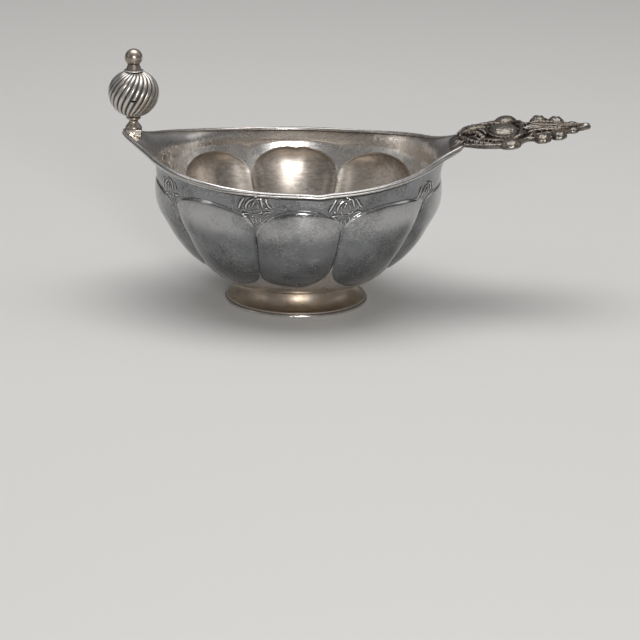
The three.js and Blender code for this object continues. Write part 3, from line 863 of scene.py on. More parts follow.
# section: out from the wall, down from the edge, mark; the groove between the beads and the wire's
# underside are darkened, partly as tarnish and partly as painted shade
rimWire = {
    "gap": 0.03,
    "columns": 440,
    "section": [
        (0, 0.02, 0.9), (0.28, 0, 0.2), (0.48, 0.07, -0.7), (0.56, 0.22, -0.8), (0.52, 0.38, 0),
        (0.36, 0.49, 0.7), (0.28, 0.55, 1), (0.42, 0.62, 0.8), (0.72, 0.7, 0.1), (0.92, 0.86, -0.6),
        (0.98, 1.04, -0.6), (0.92, 1.22, -0.1), (0.74, 1.36, 0.5), (0.4, 1.44, 0.9), (0, 1.46, 1),
    ],
    "middle": 0.73,
    "ends": (0.45, 0.8, 0.95, 1),
}


def makeRimWire():
    corner = math.atan2(handleLip["halfWidth"], handleLip["end"])
    turns = np.linspace(corner, fullTurn - corner, rimWire["columns"] + 1)
    out, down, marks = np.array(rimWire["section"]).T
    rings = []
    for k, turn in enumerate(turns):
        narrow = rimWire["ends"][min(k, len(turns) - 1 - k, 3)]
        drop = rimWire["middle"] + (down - rimWire["middle"]) * narrow
        level = levelsBelowRim(turn, drop)
        rings.append(wallPoints(np.full(len(level), turn), level, out * narrow + rimWire["gap"]))
    wire = skinOver("rim_wire_looks", np.stack(rings, 1), marks[:, None], meetColumns=False)
    finishPiece(wire, "drawn_silver", "rim_wire")


makeRimWire()
print("the rim wire is drawn")

# Foot and its wire

# neckJoint runs from the neck's corner, brimEdge from the brim down and wireEdge up the wire's outside
foot = {
    "radius": 27.5,
    "brimSetback": 0.6,
    "sheet": 0.8,
    "flange": 4,
    "bendOut": 0.6,
    "bendUp": 1,
    "neckJoint": [(-0.12, 0), (-0.02, -0.14)],
    "brimEdge": [(-0.12, 1.9), (-0.02, 1.82), (0, 1.62), (-0.02, 1.38), (-0.2, 1.1)],
    "wireHeight": 1.1,
    "wireWidth": 1.6,
    "wireEdge": [(-0.35, 0), (-0.1, 0.13), (0, 0.38), (0, 0.72), (-0.1, 0.97), (-0.35, 1.1)],
    "steps": 144,
    "ripple": 0.06,
    "neckShade": (8, 0.3, 0.55),
    "brimWearAndHighlight": (1.5, 1.95, 0.6),
}


def flareLine(inset):
    brimTop = foot["wireHeight"] + foot["sheet"]
    top = np.array([bowl["neckRadius"] - inset, bowl["footHeight"] - inset])
    bend = np.array([bowl["neckRadius"] + foot["bendOut"] - inset, brimTop + foot["bendUp"] - inset])
    bottom = np.array([foot["radius"] - foot["brimSetback"] - inset, brimTop - inset])
    t = np.linspace(0, 1, 18)[:, None]
    return [tuple(p) for p in (1 - t) ** 2 * top + 2 * t * (1 - t) * bend + t * t * bottom]


def makeFoot():
    brim = foot["radius"] - foot["brimSetback"]
    inner = foot["radius"] - foot["wireWidth"]
    low, top = foot["wireHeight"], bowl["footHeight"]
    flange = bowl["neckRadius"] - foot["flange"]
    neck, *flare = flareLine(0)
    section = [(neck[0] + x, neck[1] + z) for x, z in foot["neckJoint"]] + flare[:-1]
    section += [(brim + x, z) for x, z in foot["brimEdge"]] + [(inner, low)]
    section += [p for p in flareLine(foot["sheet"]) if p[0] < inner - foot["sheet"] / 2][::-1]
    section += [(flange, top - foot["sheet"]), (flange, top)]
    piece = spunPiece("foot_looks", section, foot["steps"])
    points = getPoints(piece)
    push = np.array([noise.noise(Vector(p) * 0.09) for p in points]) * foot["ripple"]
    points[:, :2] *= (1 + push / np.maximum(np.hypot(points[:, 0], points[:, 1]), 1))[:, None]
    setPoints(piece, points)
    x, y, z = getPoints(piece).T
    spot, spread, strength = foot["neckShade"]
    # the brim's top edge is lightened, as wear and painted highlight, and the foot darkened below 1.3 mm
    bottom, brimTop, wearAndHighlight = foot["brimWearAndHighlight"]
    tarnishWearAndPaintedLight = bellCurve(z, spot, spread) * strength - (z > bottom) * (z < brimTop) * wearAndHighlight + (z < 1.3) * 0.3
    addMark(piece, "tarnishWearAndPaintedLight", np.clip(tarnishWearAndPaintedLight + (np.hypot(x, y) < bowl["neckRadius"] - 0.3) * 0.5, -1, 1))
    finishPiece(piece, "foot_silver", "foot", inside=0.55, smooth=40)
    ring = [(inner, 0.1), (inner + 0.1, 0)] + [(foot["radius"] + x, z) for x, z in foot["wireEdge"]]
    ring += [(inner + 0.1, low), (inner, low - 0.1)]
    wire = spunPiece("foot_wire_looks", ring, foot["steps"])
    # the wire is darkened along its top, under the brim, partly as tarnish and partly as painted shade,
    # and lightened below it
    addMark(wire, "tarnishWearAndPaintedLight", np.clip((getPoints(wire)[:, 2] - 0.85) / 0.2, 0, 1) * 1.1 - 0.6)
    finishPiece(wire, "drawn_silver", "foot_wire", inside=0, smooth=40)


makeFoot()
print("the foot is spun")

# Knob, set out along its own upright axis

knob = {
    "x": -62.9,
    "seatTop": 66.1,
    "seatLength": 6.3,
    "seatHalfWidth": 3.1,
    "seatGap": -0.12,
    "seatBevel": 0.28,
    "seatShade": 64.6,
    "turnedSteps": 64,
    "ballRadius": 9.65,
    "ballWall": 0.9,
    "ballCentre": 80.14,
    "ribs": 24,
    "ribDepth": 0.72,
    "ribColumns": 14,
    "twist": 38,
    "twistTo": 75,
    "upperSquash": 0.88,
    "vent": (0.5, 0.3, -1.6),
    "ventSize": (1.15, 0.36, 3),
    "finialRadius": 3.35,
    "finialBottom": 90.92,
    "finialNeck": 2.2,
}
knobStem = (
    (0, 66.1), (3.05, 66.1), (3.12, 66.35), (3.02, 66.8), (2.7, 67.3), (2.25, 67.8), (1.86, 68.3),
    (1.7, 68.75), (1.74, 69.15), (1.95, 69.45), (2.2, 69.7), (0, 69.7),
)
lowerCollar = (
    (0, 69.7), (2.3, 69.7), (2.62, 69.82), (2.75, 70.05), (2.7, 70.3), (2.5, 70.5), (2.2, 70.6),
    (0, 70.6),
)
upperCollar = (
    (0, 88.22), (3.5, 88.22), (3.7, 88.3), (3.75, 88.45), (3.68, 88.6), (3.45, 88.68), (3.05, 88.74),
    (2.86, 88.95), (2.72, 89.4), (2.5, 90.0), (2.32, 90.55), (2.22, 90.92), (0, 90.92),
)

# each half of the ball: its hole's radius and which way it goes from the waist
ballHalves = {"ball_lower_half": (2.0, -1), "ball_upper_half": (3.3, 1)}


def lipLine(turn, gap):
    level = 1 + np.linspace(0.4, 1, 25)
    points = wallPoints(np.full(25, turn), level, np.full(25, -bowl["wall"] - gap))
    return [(p[0], p[2]) for p in points]


def easedPlate(name, outline, halfWidth, bevel):
    # an outline in the XZ plane, drawn out along Y and eased along its edges
    piece = drawnOut(name, [(x, -halfWidth, z) for x, z in outline], (0, 2 * halfWidth * mm, 0))
    closeSkin(piece)
    limit = {"limit_method": "ANGLE", "angle_limit": 35 * degree}
    applyModifier(piece, "BEVEL", width=bevel * mm, segments=3, **limit)
    return piece


def makeKnobSeat():
    top = knob["seatTop"]
    inner = knob["x"] + knob["seatLength"] / 2
    outer = knob["x"] - knob["seatLength"] / 2
    under = [p for p in lipLine(math.pi, knob["seatGap"]) if outer < p[0] < inner and p[1] < top - 0.3]
    outline = [(inner, top), (inner, under[0][1])] + under + [(under[-1][0], top)]
    seat = easedPlate("knob_seat_looks", outline, knob["seatHalfWidth"], knob["seatBevel"])
    above = getPoints(seat)[:, 2] - knob["seatShade"]
    addMark(seat, "tarnishWearAndPaintedLight", np.clip(-above / 3, 0, 0.5) - 0.2 * (above > 0))
    finishPiece(seat, "knob_silver", "knob_seat", inside=0, smooth=35)


def turnedPiece(node, section, dark):
    # dark gives the hollow mark at each height
    piece = spunPiece(node + "_looks", section, knob["turnedSteps"], knob["x"])
    addMark(piece, "tarnishWearAndPaintedLight", dark(getPoints(piece)[:, 2]))
    finishPiece(piece, "knob_silver", node, inside=0.2, smooth=50)


def ballRow(latitude, radius, depth, way):
    columns = knob["ribs"] * knob["ribColumns"]
    azimuth = fullTurn * np.arange(columns) / columns
    latitude = np.full(columns, way * latitude)
    twist = knob["twist"] * np.clip(latitude / (knob["twistTo"] * degree), -1.1, 1.1) * degree
    side = 2 * (((azimuth - twist) * knob["ribs"] / fullTurn) % 1) - 1
    valley = 0.55 * (1 - np.sqrt(1 - 0.96 * side * side)) + 0.45 * side * side
    near = np.cos(latitude) ** 0.7
    reach = radius - depth * valley * near
    x = knob["x"] + reach * np.cos(latitude) * np.cos(azimuth)
    y = reach * np.cos(latitude) * np.sin(azimuth)
    squash = np.where(latitude > 0, knob["upperSquash"], 1)
    return np.stack([x, y, knob["ballCentre"] + squash * reach * np.sin(latitude)], -1), valley * near


def makeBallHalf(node, hole, way):
    radius = knob["ballRadius"]
    hollowRadius = radius - knob["ballWall"]
    stop = math.acos(hole / radius)
    rings, marks = [], []
    for latitude in np.linspace(stop, 0, 30):
        points, valley = ballRow(latitude, radius, knob["ribDepth"], way)
        ends = 0.3 * smoothRamp((latitude - stop + 0.15) / 0.15)
        rings.append(points)
        marks.append(np.clip(np.clip(valley * 2.6 - 0.7, -0.7, 1) + ends, -0.7, 1))
    for latitude in np.linspace(0, math.acos(hole / hollowRadius), 8):
        rings.append(ballRow(latitude, hollowRadius, 0, way)[0])
        marks.append(np.ones(len(points)))
    half = skinOver(node + "_looks", np.stack(rings), np.stack(marks))
    if way < 0:
        x, y, z = knob["vent"]
        vent = Vector((knob["x"] + x, -radius + y, knob["ballCentre"] + z))
        size = [s * mm for s in knob["ventSize"]]
        cutAway(half, ovalCutter(footMiddle + vent * mm, (90 * degree, 0, 0), size, 1))
    finishPiece(half, "ball_silver", node, inside=0.15, smooth=75)


def finialSection():
    radius, neck, bottom = knob["finialRadius"], knob["finialNeck"], knob["finialBottom"]
    centre = bottom + math.sqrt(radius**2 - neck**2)
    angles = np.linspace(-math.acos(neck / radius), math.pi / 2, 20)[:-1]
    ball = [(radius * math.cos(a), centre + radius * math.sin(a)) for a in angles]
    return [(0, bottom)] + ball + [(0, centre + radius)]


def stemDark(z):
    return 0.35 * bellCurve(z, 66.15, 0.2) + 0.5 * smoothRamp((z - 69.3) / 0.4)


def upperDark(z):
    return 0.75 * bellCurve(z, 88.85, 0.15) + 0.3 * (z > 89) - 1.2 * (z < 88.72)


makeKnobSeat()
turnedPiece("knob_stem", knobStem, stemDark)
turnedPiece("knob_lower_collar", lowerCollar, lambda z: 0.6 * smoothRamp((z - 70.4) / 0.2))
for node, half in ballHalves.items():
    makeBallHalf(node, *half)
turnedPiece("knob_upper_collar", upperCollar, upperDark)
turnedPiece("finial", finialSection(), lambda z: 0.7 * smoothRamp((91.4 - z) / 0.4))
print("the knob is turned and its ball is ribbed")

# Cast handle, laid out flat from its root as (along, across, up from the plate's underside), then tilted

handle = {
    "root": 63.1,
    "underside": 63.8,
    "tilt": 6.5,
    "plate": 1.5,
    "side": [
        (0, 10.8), (3.3, 13.9), (7.1, 16), (10.8, 17.2), (15, 17.6), (20, 15), (23.4, 11.3), (27, 12),
        (32, 10.2), (36.5, 7), (41, 4), (46, 1.9),
    ],
    "egg": (14.8, 0, 0.9, 6.3, 7.0, 3.7),
    "eggArcs": (0.62, 0.8),
    "tipDome": (45.9, 0, 0.8, 2.15, 2.0, 1.65),
    "tongueReach": 6,
    "tongueHalfWidth": 6.6,
    "tongueGap": 0.05,
    "tongueSheet": 1.2,
    "tongueRun": (3, 1.4),
    "tongueBevel": 0.3,
    "twist": 1.0,
    "farDomes": 1.12,
    "voxel": 0.24,
    "rough": 0.14,
    "shadeReach": 2.0,
    "shadeRays": 16,
}


def throughPoints(points, count):
    # a smooth curve through points, evenly sampled between each two
    knots = np.array(points, float)
    knots = np.vstack([2 * knots[0] - knots[1], knots, 2 * knots[-1] - knots[-2]])
    found = []
    for i in range(1, len(knots) - 2):
        a, b, c, d = knots[i - 1 : i + 3]
        square, cube = 2 * a - 5 * b + 4 * c - d, 3 * b - a - 3 * c + d
        for t in np.arange(count) / count:
            found.append(0.5 * ((2 * b) + (c - a) * t + square * t * t + cube * t**3))
    return np.array(found + [knots[-2]])


def castRod(points, radii, sides=4):
    # a tapering rod along a smooth line
    rod = added(bpy.ops.curve.primitive_nurbs_path_add, "rod")
    rod.data.splines.clear()
    line = throughPoints([(*p, r) for p, r in zip(points, radii)], 5)
    spline = rod.data.splines.new("POLY")
    spline.points.add(len(line) - 1)
    for point, (x, y, z, r) in zip(spline.points, line):
        point.co = (x, y, z, 1)
        point.radius = max(r, 0.05)
    rod.data.dimensions = "3D"
    rod.data.bevel_depth = 1
    rod.data.bevel_resolution = sides
    rod.data.use_fill_caps = True
    bpy.ops.object.convert(target="MESH")
    return bpy.context.object


def castDome(along, across, up, radiusX, radiusY, height, veins=0, turn=0.0, veinDepth=0.1):
    dome = added(bpy.ops.mesh.primitive_uv_sphere_add, "dome", segments=48, ring_count=24, radius=1)
    co = getFlat(dome)
    if veins:
        # the veins run from the shell's hinge, like a fan
        hingeX = co[:, 0] + 1.15
        fan = np.arctan2(co[:, 1], hingeX)
        ripple = 1 - veinDepth * (0.5 - 0.5 * np.cos(fan * veins * 2)) * np.clip(hingeX, 0, 1)
        co[:, 2] *= ripple
        co[:, :2] *= (0.5 + 0.5 * ripple)[:, None]
    c, s = math.cos(turn * degree), math.sin(turn * degree)
    x = co[:, 0] * radiusX
    y = co[:, 1] * radiusY
    setFlat(dome, np.stack([along + c * x - s * y, across + s * x + c * y, up + co[:, 2] * height], -1))
    return dome


def castBead(along, across, up, radius):
    ball = {"subdivisions": 2, "radius": radius, "location": (along, across, up)}
    bead = added(bpy.ops.mesh.primitive_ico_sphere_add, "bead", **ball)
    bpy.ops.object.transform_apply(location=True, rotation=True, scale=True)
    return bead


# rods of one side: points (along, across, up) and radii
handleRods = [
    # the smooth edge from the root to the first boss, on to the waist and between the tip's domes
    ([(-0.6, 11.2, 0.9), (3.3, 13.5, 1), (7.1, 15.5, 1.05), (10.8, 16.6, 1.1), (14, 17.2, 1.1)],
     [0.75, 0.85, 0.9, 0.95, 1]),
    ([(19, 15.6, 1.1), (21, 12.8, 1.15), (23.6, 10.9, 1.2), (26, 11.2, 1.1)], [0.95, 0.8, 0.75, 0.6]),
    ([(37, 7.4, 1.1), (38.8, 5.9, 1.2), (40.4, 4.6, 1.1)], [0.6, 0.7, 0.6]),
    ([(42, 3.2, 1.1), (43.8, 2.3, 1.15), (45.4, 1.6, 1.1)], [0.8, 0.75, 0.8]),
    # the scroll that rolls from the root's middle out to the edge
    ([(-3.4, 1.2, 1.6), (-1.3, 4.2, 2.3), (0.6, 7.8, 2.4),
      (2.6, 10.4, 2.1), (5.6, 12.6, 1.8), (9.4, 14, 1.5)],
     [0.4, 0.65, 0.7, 0.65, 0.55, 0.35]),
    # three leaves that fan out between the root and the egg
    ([(0.4, 1.4, 2.6), (2.4, 2.6, 3.3), (4.6, 4.6, 3.4), (6.4, 7.4, 2.8), (7.2, 10.2, 2)],
     [0.5, 0.85, 0.95, 0.8, 0.4]),
    ([(3.2, 0.9, 3.2), (5.2, 1.6, 3.8), (7, 3.4, 3.7), (8, 6, 3)], [0.6, 0.85, 0.8, 0.45]),
    ([(1.2, 4.8, 2.2), (3.2, 7, 2.5), (4.8, 9.4, 2.1), (6.2, 11.8, 1.6)], [0.4, 0.7, 0.65, 0.3]),
    # the long leaf beside the egg, out to the first boss
    ([(4.2, 8.7, 2.1), (8.3, 11, 2.2), (10.6, 12.8, 2), (13.4, 13.4, 1.9), (15.8, 12.4, 1.7)],
     [0.4, 0.75, 0.8, 0.7, 0.4]),
    # the ring round the egg
    ([(8.3, 0, 2.9), (8.8, 3.4, 2.7), (10.6, 6.4, 2.3),
      (13.2, 7.9, 1.9), (15.8, 8.2, 1.8), (18.4, 7.2, 1.8)],
     [0.5, 0.5, 0.5, 0.45, 0.45, 0.35]),
    # two crescents at the egg's outer end
    ([(17.2, 11.6, 1.7), (19.6, 11, 2.2), (21.4, 8.8, 2.5), (22.4, 6, 2.5), (22.8, 3.4, 2.3)],
     [0.4, 0.85, 0.95, 0.8, 0.4]),
    ([(19.8, 8.6, 1.9), (21, 5.4, 2.4), (21.6, 2.4, 2.6), (21.7, 0, 2.6)], [0.4, 0.6, 0.65, 0.6]),
    # stems that gather towards the tip
    ([(23, 0.9, 2.2), (27, 1.5, 2.5), (32, 1.9, 2.3), (37.4, 1.6, 2.1), (42.4, 0.7, 1.9)],
     [0.5, 0.7, 0.65, 0.6, 0.5]),
    ([(23.8, 4.4, 1.9), (27.4, 3.9, 2.3), (31.4, 3.7, 2.2), (35.8, 3.6, 1.9), (39.6, 2.6, 1.8)],
     [0.5, 0.65, 0.65, 0.55, 0.4]),
    ([(24.4, 8.2, 1.8), (27.6, 9.4, 2), (30.6, 8.8, 1.9), (34, 7.4, 1.8), (37.4, 6, 1.6)],
     [0.4, 0.65, 0.65, 0.6, 0.4]),
    ([(24.2, 9.2, 1.6), (25.6, 7.4, 2.1), (27.2, 6.6, 2.1)], [0.4, 0.6, 0.35]),
]

# rods along the middle
middleRods = [
    ([(20.5, 0, 2.2), (24, 0, 2.6), (30, 0, 2.7), (37, 0, 2.4), (44, 0, 1.9)],
     [0.5, 0.75, 0.7, 0.6, 0.6]),
    ([(-2.2, 0, 2), (1.6, 0, 3.4), (5, 0, 4), (8.2, 0, 3.9)], [0.6, 0.9, 0.95, 0.6]),
]

# small ribs that stand off a leaf: points of the leaf's own middle line, count, length, turn back
handleVeins = [
    ([(-1.3, 4.2, 2.7), (2.6, 10.4, 2.6), (7.4, 13.4, 2)], 9, 1.8, 62),
    ([(1.4, 2.2, 3.6), (4.6, 4.6, 4.1), (7, 9.2, 2.9)], 8, 1.7, 55),
    ([(5.2, 9.6, 2.7), (10.6, 12.8, 2.6), (14.8, 12.6, 2.3)], 8, 1.6, 58),
    ([(25.4, 4.2, 2.6), (31.4, 3.7, 2.8), (37, 3.2, 2.3)], 8, 1.3, 40),
    ([(25, 1.2, 2.8), (32, 1.9, 2.8), (40, 1.2, 2.4)], 9, 1.2, 40),
    ([(26.4, 9.2, 2.4), (30.6, 8.8, 2.4), (35.6, 6.8, 2.1)], 7, 1.4, 48),
]

# small cast beads of one side: along, across, up, radius
handleBeads = [
    (13.4, 9.6, 2, 0.55), (14.9, 10.1, 2, 0.6), (16.4, 9.9, 2, 0.6), (21.2, 10.4, 2.5, 0.5),
    (23.9, 2.3, 2.5, 0.6), (24, 6.2, 2.2, 0.62), (22.9, 7.6, 2.2, 0.58), (25.6, 2.8, 2.3, 0.5),
    (32.1, 13, 1.5, 0.6), (38, 7.8, 1.4, 0.55), (43, 1.6, 2, 0.5), (1.7, 1.6, 3.6, 0.62),
    (7.3, 2.4, 4, 0.6), (5.1, 10.6, 2.3, 0.6), (-1.8, 2.2, 2.4, 0.6), (26, 6, 2.2, 0.5),
    (9.4, 9.4, 1.85, 0.55), (11.2, 10.6, 1.85, 0.55), (4, 6.4, 3, 0.5), (28.9, 6.4, 2.1, 0.45),
]

# domes of one side: along, across, up, radius along, radius across, height, veins, turn, vein depth
handleDomes = [
    (16.5, 16.6, 0.7, 4, 3.8, 2.5, 0, 0, 0),
    (28.9, 12.7, 0.6, 3.4, 3.2, 2.75, 7, 125, 0.15),
    (35.2, 10.1, 0.6, 3.3, 3, 2.5, 7, 118, 0.15),
    (41, 3.8, 0.7, 2.2, 2, 1.5, 0, 0, 0),
]

# flat lips round the domes' feet: along, across, radius
handleFeet = [(16.5, 16.3, 4), (28.7, 12.3, 3.3), (35, 9.7, 3.1)]

# through-holes: along, across, half length, half width, turn
handleHoles = [(31.5, 5.6, 4, 0.6, -8), (25.2, 9.9, 0.9, 0.5, -60)]

# relief on the tongue: points (back from the root, across) and radii
tongueRods = [
    ([(0.2, 0), (2.4, 0), (5.2, 0)], [0.8, 0.7, 0.4]),
    ([(-0.4, 1.8), (2, 2.6), (4.6, 3.6)], [0.75, 0.7, 0.35]),
    ([(-0.4, 4), (1.6, 5), (3.6, 6.2)], [0.7, 0.6, 0.3]),
    ([(-0.8, 6.6), (1, 7.8), (2.4, 9)], [0.7, 0.6, 0.3]),
]

def castTongue():
    # the tongue lies on the lip's inside and runs out into the plate
    root, underside = handle["root"], handle["underside"]
    gap, start = handle["tongueGap"], root - handle["tongueReach"]
    under = [p for p in lipLine(0.0, gap) if p[0] > start]
    over = [p for p in lipLine(0.0, gap + handle["tongueSheet"]) if p[0] > start]
    run, thick = handle["tongueRun"]
    rise = run * math.tan(handle["tilt"] * degree)
    outline = under + [(root, under[-1][1]), (root, underside)]
    outline += [(root + run, underside + rise), (root + run, underside + thick + rise)]
    outline += over[::-1]
    parts = [easedPlate("tongue", outline, handle["tongueHalfWidth"], handle["tongueBevel"])]
    top = np.array(over)
    for side in (-1, 1):
        for points, radii in tongueRods:
            line = []
            for back, across in points:
                x = root - back
                line.append((x, side * across, float(np.interp(x, top[:, 0], top[:, 1])) - 0.05))
            rod = castRod(line, radii)
            rod.data.transform(Matrix.Translation(footMiddle) @ Matrix.Scale(mm, 4))
            parts.append(rod)
    return parts


def castVeins(points, count, length, turn, side):
    # short ribs on both sides of a leaf's middle line, like a herringbone
    line = throughPoints(points, 12)
    ribs = []
    for k in range(count):
        place = int((k + 0.5) / count * (len(line) - 2))
        u, v, w = line[place]
        along = line[place + 1] - line[place]
        heading = math.atan2(along[1], along[0])
        for way in (1, -1):
            angle = heading + way * turn * degree
            reach = length * (0.75 + 0.5 * abs(noise.noise(Vector((k * 1.7, -way * 2.1, u)))))
            endU, endV = u + reach * math.cos(angle), v + reach * math.sin(angle)
            middle = ((u + endU) / 2, side * (v + endV) / 2, w - 0.25)
            ends = (u, side * v, w - 0.15), (endU, side * endV, w - 0.75)
            ribs.append(castRod([ends[0], middle, ends[1]], [0.3, 0.36, 0.2], 2))
    return ribs


def castHalf(side):
    # what stands on the plate on one side
    parts = []
    for points, radii in handleRods:
        parts.append(castRod([(u, side * v, w) for u, v, w in points], radii))
    for vein in handleVeins:
        parts += castVeins(*vein, side)
    for along, across, up, radius in handleBeads:
        parts.append(castBead(along, side * across, up, radius))
    grow = handle["farDomes"] if side > 0 else 1
    for along, across, up, rx, ry, height, veins, turn, depth in handleDomes:
        size = (rx * grow, ry * grow, height * grow)
        parts.append(castDome(along, side * across, up, *size, veins, side * turn, depth))
    for along, across, radius in handleFeet:
        parts.append(castDome(along, side * across, 0.75, radius + 0.25, radius + 0.1, 0.5))
    return parts


def castMiddle():
    # the egg with its arcs, the dome at the tip and the ridges along the middle
    egg = handle["egg"]
    parts = [castDome(*egg)]
    along, _, up, rx, ry, height = egg
    for share in handle["eggArcs"]:
        arc = []
        for angle in np.linspace(-75, 75, 9) * degree:
            u = -share * math.cos(angle)
            v = share * math.sin(angle) * 0.9
            arc.append((along + u * rx, v * ry, up + height * math.sqrt(max(1 - u * u - v * v, 0)) - 0.1))
        parts.append(castRod(arc, [0.15, 0.25, 0.3, 0.32, 0.32, 0.32, 0.3, 0.25, 0.15], 2))
    parts.append(castDome(*handle["tipDome"]))
    return parts + [castRod(points, radii) for points, radii in middleRods]


def dropBubbles(piece):
    # the remesh leaves closed bubbles between the rods: only the skin that reaches the tip stays
    tip = int(np.argmax(getPoints(piece)[:, 0]))
    with editing(piece):
        bpy.ops.mesh.select_all(action="DESELECT")
    piece.data.vertices[tip].select = True
    bpy.ops.object.mode_set(mode="EDIT")
    bpy.ops.mesh.select_linked()
    bpy.ops.mesh.select_all(action="INVERT")
    bpy.ops.mesh.delete(type="VERT")
    bpy.ops.object.mode_set(mode="OBJECT")


goldenAngle = 2.39996


def hollowMarks(piece):
    # how much of the open space over each point the piece itself closes off, within reach;
    # the most open points go below zero, as worn metal
    reach, rays = handle["shadeReach"] * mm, handle["shadeRays"]
    mesh = piece.data
    tree = BVHTree.FromPolygons([v.co for v in mesh.vertices], [p.vertices for p in mesh.polygons])
    fan = []
    for k in range(rays):
        height = 1 - (k + 0.5) / rays * 0.93
        angle = k * goldenAngle
        side = math.sqrt(1 - height * height)
        fan.append(Vector((side * math.cos(angle), side * math.sin(angle), height)))
    shade = []
    for vertex in mesh.vertices:
        turn = vertex.normal.to_track_quat("Z", "Y")
        start = vertex.co + vertex.normal * (0.03 * mm)
        hits = [tree.ray_cast(start, turn @ way, reach)[3] for way in fan]
        shade.append(sum(1 - hit / reach for hit in hits if hit is not None) / rays)
    return np.clip(np.array(shade) * 2.6 - 0.15, -0.15, 1)


def makeHandle():
    half = throughPoints(handle["side"], 6)
    outline = [(u, -v, 0) for u, v in half] + [(u, v, 0) for u, v in half[::-1]]
    plate = drawnOut("plate", outline, (0, 0, handle["plate"]), setFlat)
    flat = joinAll([plate] + castHalf(-1) + castHalf(1) + castMiddle(), "cast_handle_looks")
    # nothing reaches below the plate's underside
    places = getFlat(flat)
    places[:, 2] = np.maximum(places[:, 2], 0)
    setFlat(flat, places)
    holes = []
    for side in (-1, 1):
        for along, across, length, width, turn in handleHoles:
            place = (along, side * across, 0)
            holes.append(ovalCutter(place, (0, 0, side * turn * degree), (length, width, 1), 12))
    cutter = joinAll(holes, "cutter")
    root = Matrix.Translation(footMiddle + Vector((handle["root"], 0, handle["underside"])) * mm)
    tilt = Matrix.Rotation(-handle["tilt"] * degree, 4, "Y")
    lay = root @ tilt @ Matrix.Rotation(handle["twist"] * degree, 4, "X") @ Matrix.Scale(mm, 4)
    flat.data.transform(lay)
    cutter.data.transform(lay)
    whole = joinAll([flat] + castTongue(), "cast_handle_looks")
    applyModifier(whole, "REMESH", mode="VOXEL", voxel_size=handle["voxel"] * mm)
    cutAway(whole, cutter)
    dropBubbles(whole)
    applyModifier(whole, "SMOOTH", factor=0.5, iterations=2)
    points = getPoints(whole)
    normals = np.array([v.normal for v in whole.data.vertices])
    seats = points - np.array([handle["root"], 0, handle["underside"]])
    above = seats[:, 2] - seats[:, 0] * math.tan(handle["tilt"] * degree)
    uneven = unevenness(points, 0.9) + 0.6 * unevenness(points, 2.2)
    setPoints(whole, points + normals * (handle["rough"] * uneven * (above > 0.9))[:, None])
    addMark(whole, "tarnishWearAndPaintedLight", hollowMarks(whole))
    finishPiece(whole, "cast_silver", "cast_handle", inside=0.2)


makeHandle()
print("the handle is cast")

# Chased ornament: one flower, drawn flat as (to the right, up) and laid on the wall between each two
# lobes, and the pair of lines that outlines each lobe's arch. ridge and pair are cross-sections: place
# across the line, share of the lift, and a mark that darkens the flanks and grooves, partly as tarnish
# and partly as painted shade, and lightens the crests as worn metal.

chasing = {
    "base": 46.7,
    "lift": 0.28,
    "ridgeWidth": 0.48,
    "pairWidth": 0.72,
    "spandrelHeight": 48.0,
    "archSpan": (34, 78),
    "archPoints": 32,
    "archGap": 0.2,
    "archWander": 0.2,
    "ridge": [
        (-2.0, -0.05, 0.1), (-1.7, 0.05, 0.4), (-0.95, 0.06, 1), (-0.5, 0.75, -0.6), (0, 0.95, -1),
        (0.5, 0.75, -0.6), (0.95, 0.06, 1), (1.7, 0.05, 0.4), (2.0, -0.05, 0.1),
    ],
    "pair": [
        (-1, -0.03, 0.9), (-0.7, 0.7, -0.6), (-0.45, 0.9, -0.7), (-0.15, 0.05, 1), (0.2, 0.05, 1),
        (0.45, 0.9, -0.7), (0.7, 0.7, -0.5), (1, -0.03, 0.9),
    ],
}

# ridges of the flower, a bell with leaves round it: points and their share of the width
flowerStrokes = [
    ([(-3.4, 1.08), (-3.2, 2.88), (-2.5, 4.14), (-1.4, 5.13), (-0.1, 5.76)], 1),
    ([(0.6, 5.4), (1.5, 5.94), (2.4, 5.67), (2.8, 4.32), (3.2, 2.43)], 1),
    ([(0.5, 4.86), (-0.4, 3.87), (-0.7, 2.52)], 0.8),
    ([(0.9, 4.14), (1.4, 3.06), (1.5, 1.98)], 0.6),
    ([(-1.9, 3.51), (-2, 2.52)], 0.7),
    ([(0.1, 6.3), (0.35, 6.48), (0.55, 6.3)], 1),
    ([(-4.4, 1.17), (-4, 0.81)], 1.2),
    ([(-1.8, 0.72), (-1.4, 0.45)], 1.1),
    ([(2.8, 1.35), (2.6, 0.54), (1.8, 0.18), (1.2, 0.27)], 0.85),
    ([(-5.4, -0.7), (-3.9, -0.4), (-2.3, -0.2)], 0.9),
    ([(-1.4, -0.3), (0.6, -0.4), (2.4, -0.5)], 0.5),
    ([(3.3, 0.27), (4.9, 0.81), (6.3, 0.72)], 0.9),
    ([(-3.9, 5.94), (-4.9, 4.41), (-5.7, 2.79), (-6.4, 1.08)], 1.1),
    ([(3.9, 5.94), (4.8, 4.41), (5.5, 3.15), (6.6, 2.34)], 1),
    ([(4, 1.98), (4.6, 2.61), (5, 1.98)], 0.7),
    ([(-1.1, -1.7), (-1.4, -2.9), (-0.6, -4.3)], 0.6),
    ([(0.4, -1.5), (0.2, -2.8), (0.9, -4.2)], 0.6),
    ([(1.9, -1.4), (1.9, -2.6), (2.4, -3.8)], 0.6),
]

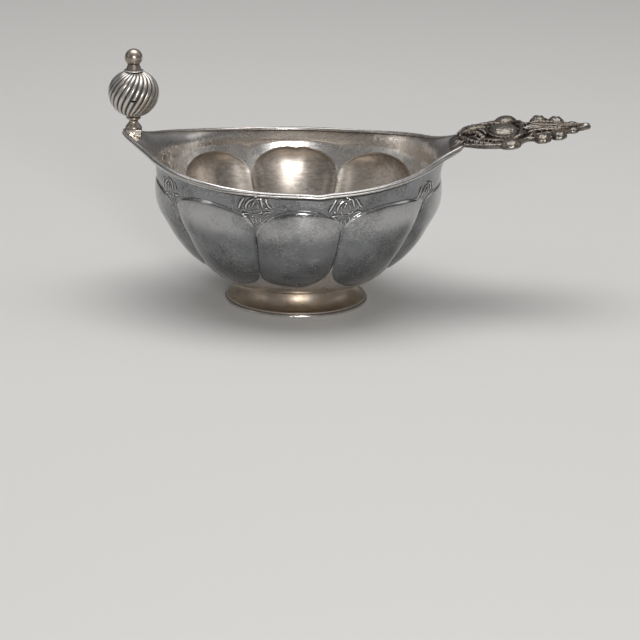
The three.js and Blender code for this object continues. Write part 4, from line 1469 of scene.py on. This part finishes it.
def flatStroke(line, width, profile):
    # one or two tapering ridges along a line, as (to the right, up, out from the wall), closed below
    count = len(line)
    along = np.gradient(line, axis=0)
    side = np.stack([-along[:, 1], along[:, 0]], -1) / np.linalg.norm(along, axis=1)[:, None]
    ends = np.minimum(np.arange(count), count - 1 - np.arange(count)) / (count - 1)
    taper = 0.4 + 0.6 * smoothRamp(ends / 0.2)
    places, heights, marks = np.array(profile + [(profile[-1][0], -1, 1), (profile[0][0], -1, 1)]).T
    rows = []
    for place, height in zip(places, heights):
        rise = chasing["lift"] * height * np.minimum(taper + 0.15, 1)
        rows.append(np.column_stack([line + side * (width * taper * place)[:, None], rise]))
    return skinOver("stroke", np.stack(rows), marks[:, None], meetColumns=False, put=setFlat)


def alongWall(turn):
    # millimetres of wall for each radian of turn at the shoulder
    return math.hypot(bowl["halfLength"] * math.sin(turn), bowl["halfWidth"] * math.cos(turn))


def spandrelTurn(number):
    turn = creases[number][0] * degree
    return turn + float(leanShift(np.array(turn % fullTurn), chasing["spandrelHeight"]))


def layOnWall(piece, turn):
    right, up, out = getFlat(piece).astype(float).T
    turns = turn + right / alongWall(turn)
    steps = np.linspace(0, 1.95, 118)
    walls = plainWall(np.repeat(turns[:, None], len(steps), 1), np.repeat(steps[None], len(turns), 0))
    heights = chasing["base"] + up
    level = np.array([np.interp(h, wall[:, 2], steps) for h, wall in zip(heights, walls)])
    setPoints(piece, wallPoints(turns, level, out))
    return piece


def makeFlowers():
    strokes = []
    for points, share in flowerStrokes:
        width = chasing["ridgeWidth"] * share
        strokes.append(flatStroke(throughPoints(points, 7), width, chasing["ridge"]))
    copies = [joinAll(strokes, "flower")]
    for _ in creases[1:]:
        selectOnly(copies[0])
        bpy.ops.object.duplicate(linked=False)
        copies.append(bpy.context.object)
    laid = [layOnWall(copy, spandrelTurn(number)) for number, copy in enumerate(copies)]
    return joinAll(laid, "chased_flowers")


def archLine(number, side):
    # a line at an even distance outside one side of a lobe's arch, as turns and heights
    item, offset = lobes[number], chasing["archGap"]
    corner = item["corners"][side > 0][1]
    angles = np.linspace(*chasing["archSpan"], chasing["archPoints"]) * degree
    halfWidth = item["half"] * degree * bowl["halfWidth"] + offset
    rise = item["top"] - corner + lobe["edgeWidth"] + offset
    wander = unevenness([(a * 3, number * 5.3, side) for a in angles]) * chasing["archWander"]
    turn = item["middle"] * degree + side * (halfWidth + wander) * np.sin(angles) / bowl["halfWidth"]
    height = corner + (rise + wander) * np.cos(angles)
    return turn + leanShift(turn % fullTurn, height), height


def makeOutlines():
    strokes = []
    for number in range(len(lobes)):
        for side in (-1, 1):
            spandrel = spandrelTurn((number + (side > 0)) % len(creases))
            turn, height = archLine(number, side)
            off = (turn - spandrel + math.pi) % fullTurn - math.pi
            line = np.column_stack([off * alongWall(spandrel), height - chasing["base"]])
            stroke = flatStroke(line, chasing["pairWidth"], chasing["pair"])
            strokes.append(layOnWall(stroke, spandrel))
    return joinAll(strokes, "chased_outlines")


for chased in (makeFlowers(), makeOutlines()):
    finishPiece(chased, "raised_silver", None)
print("the flowers and outlines are chased")
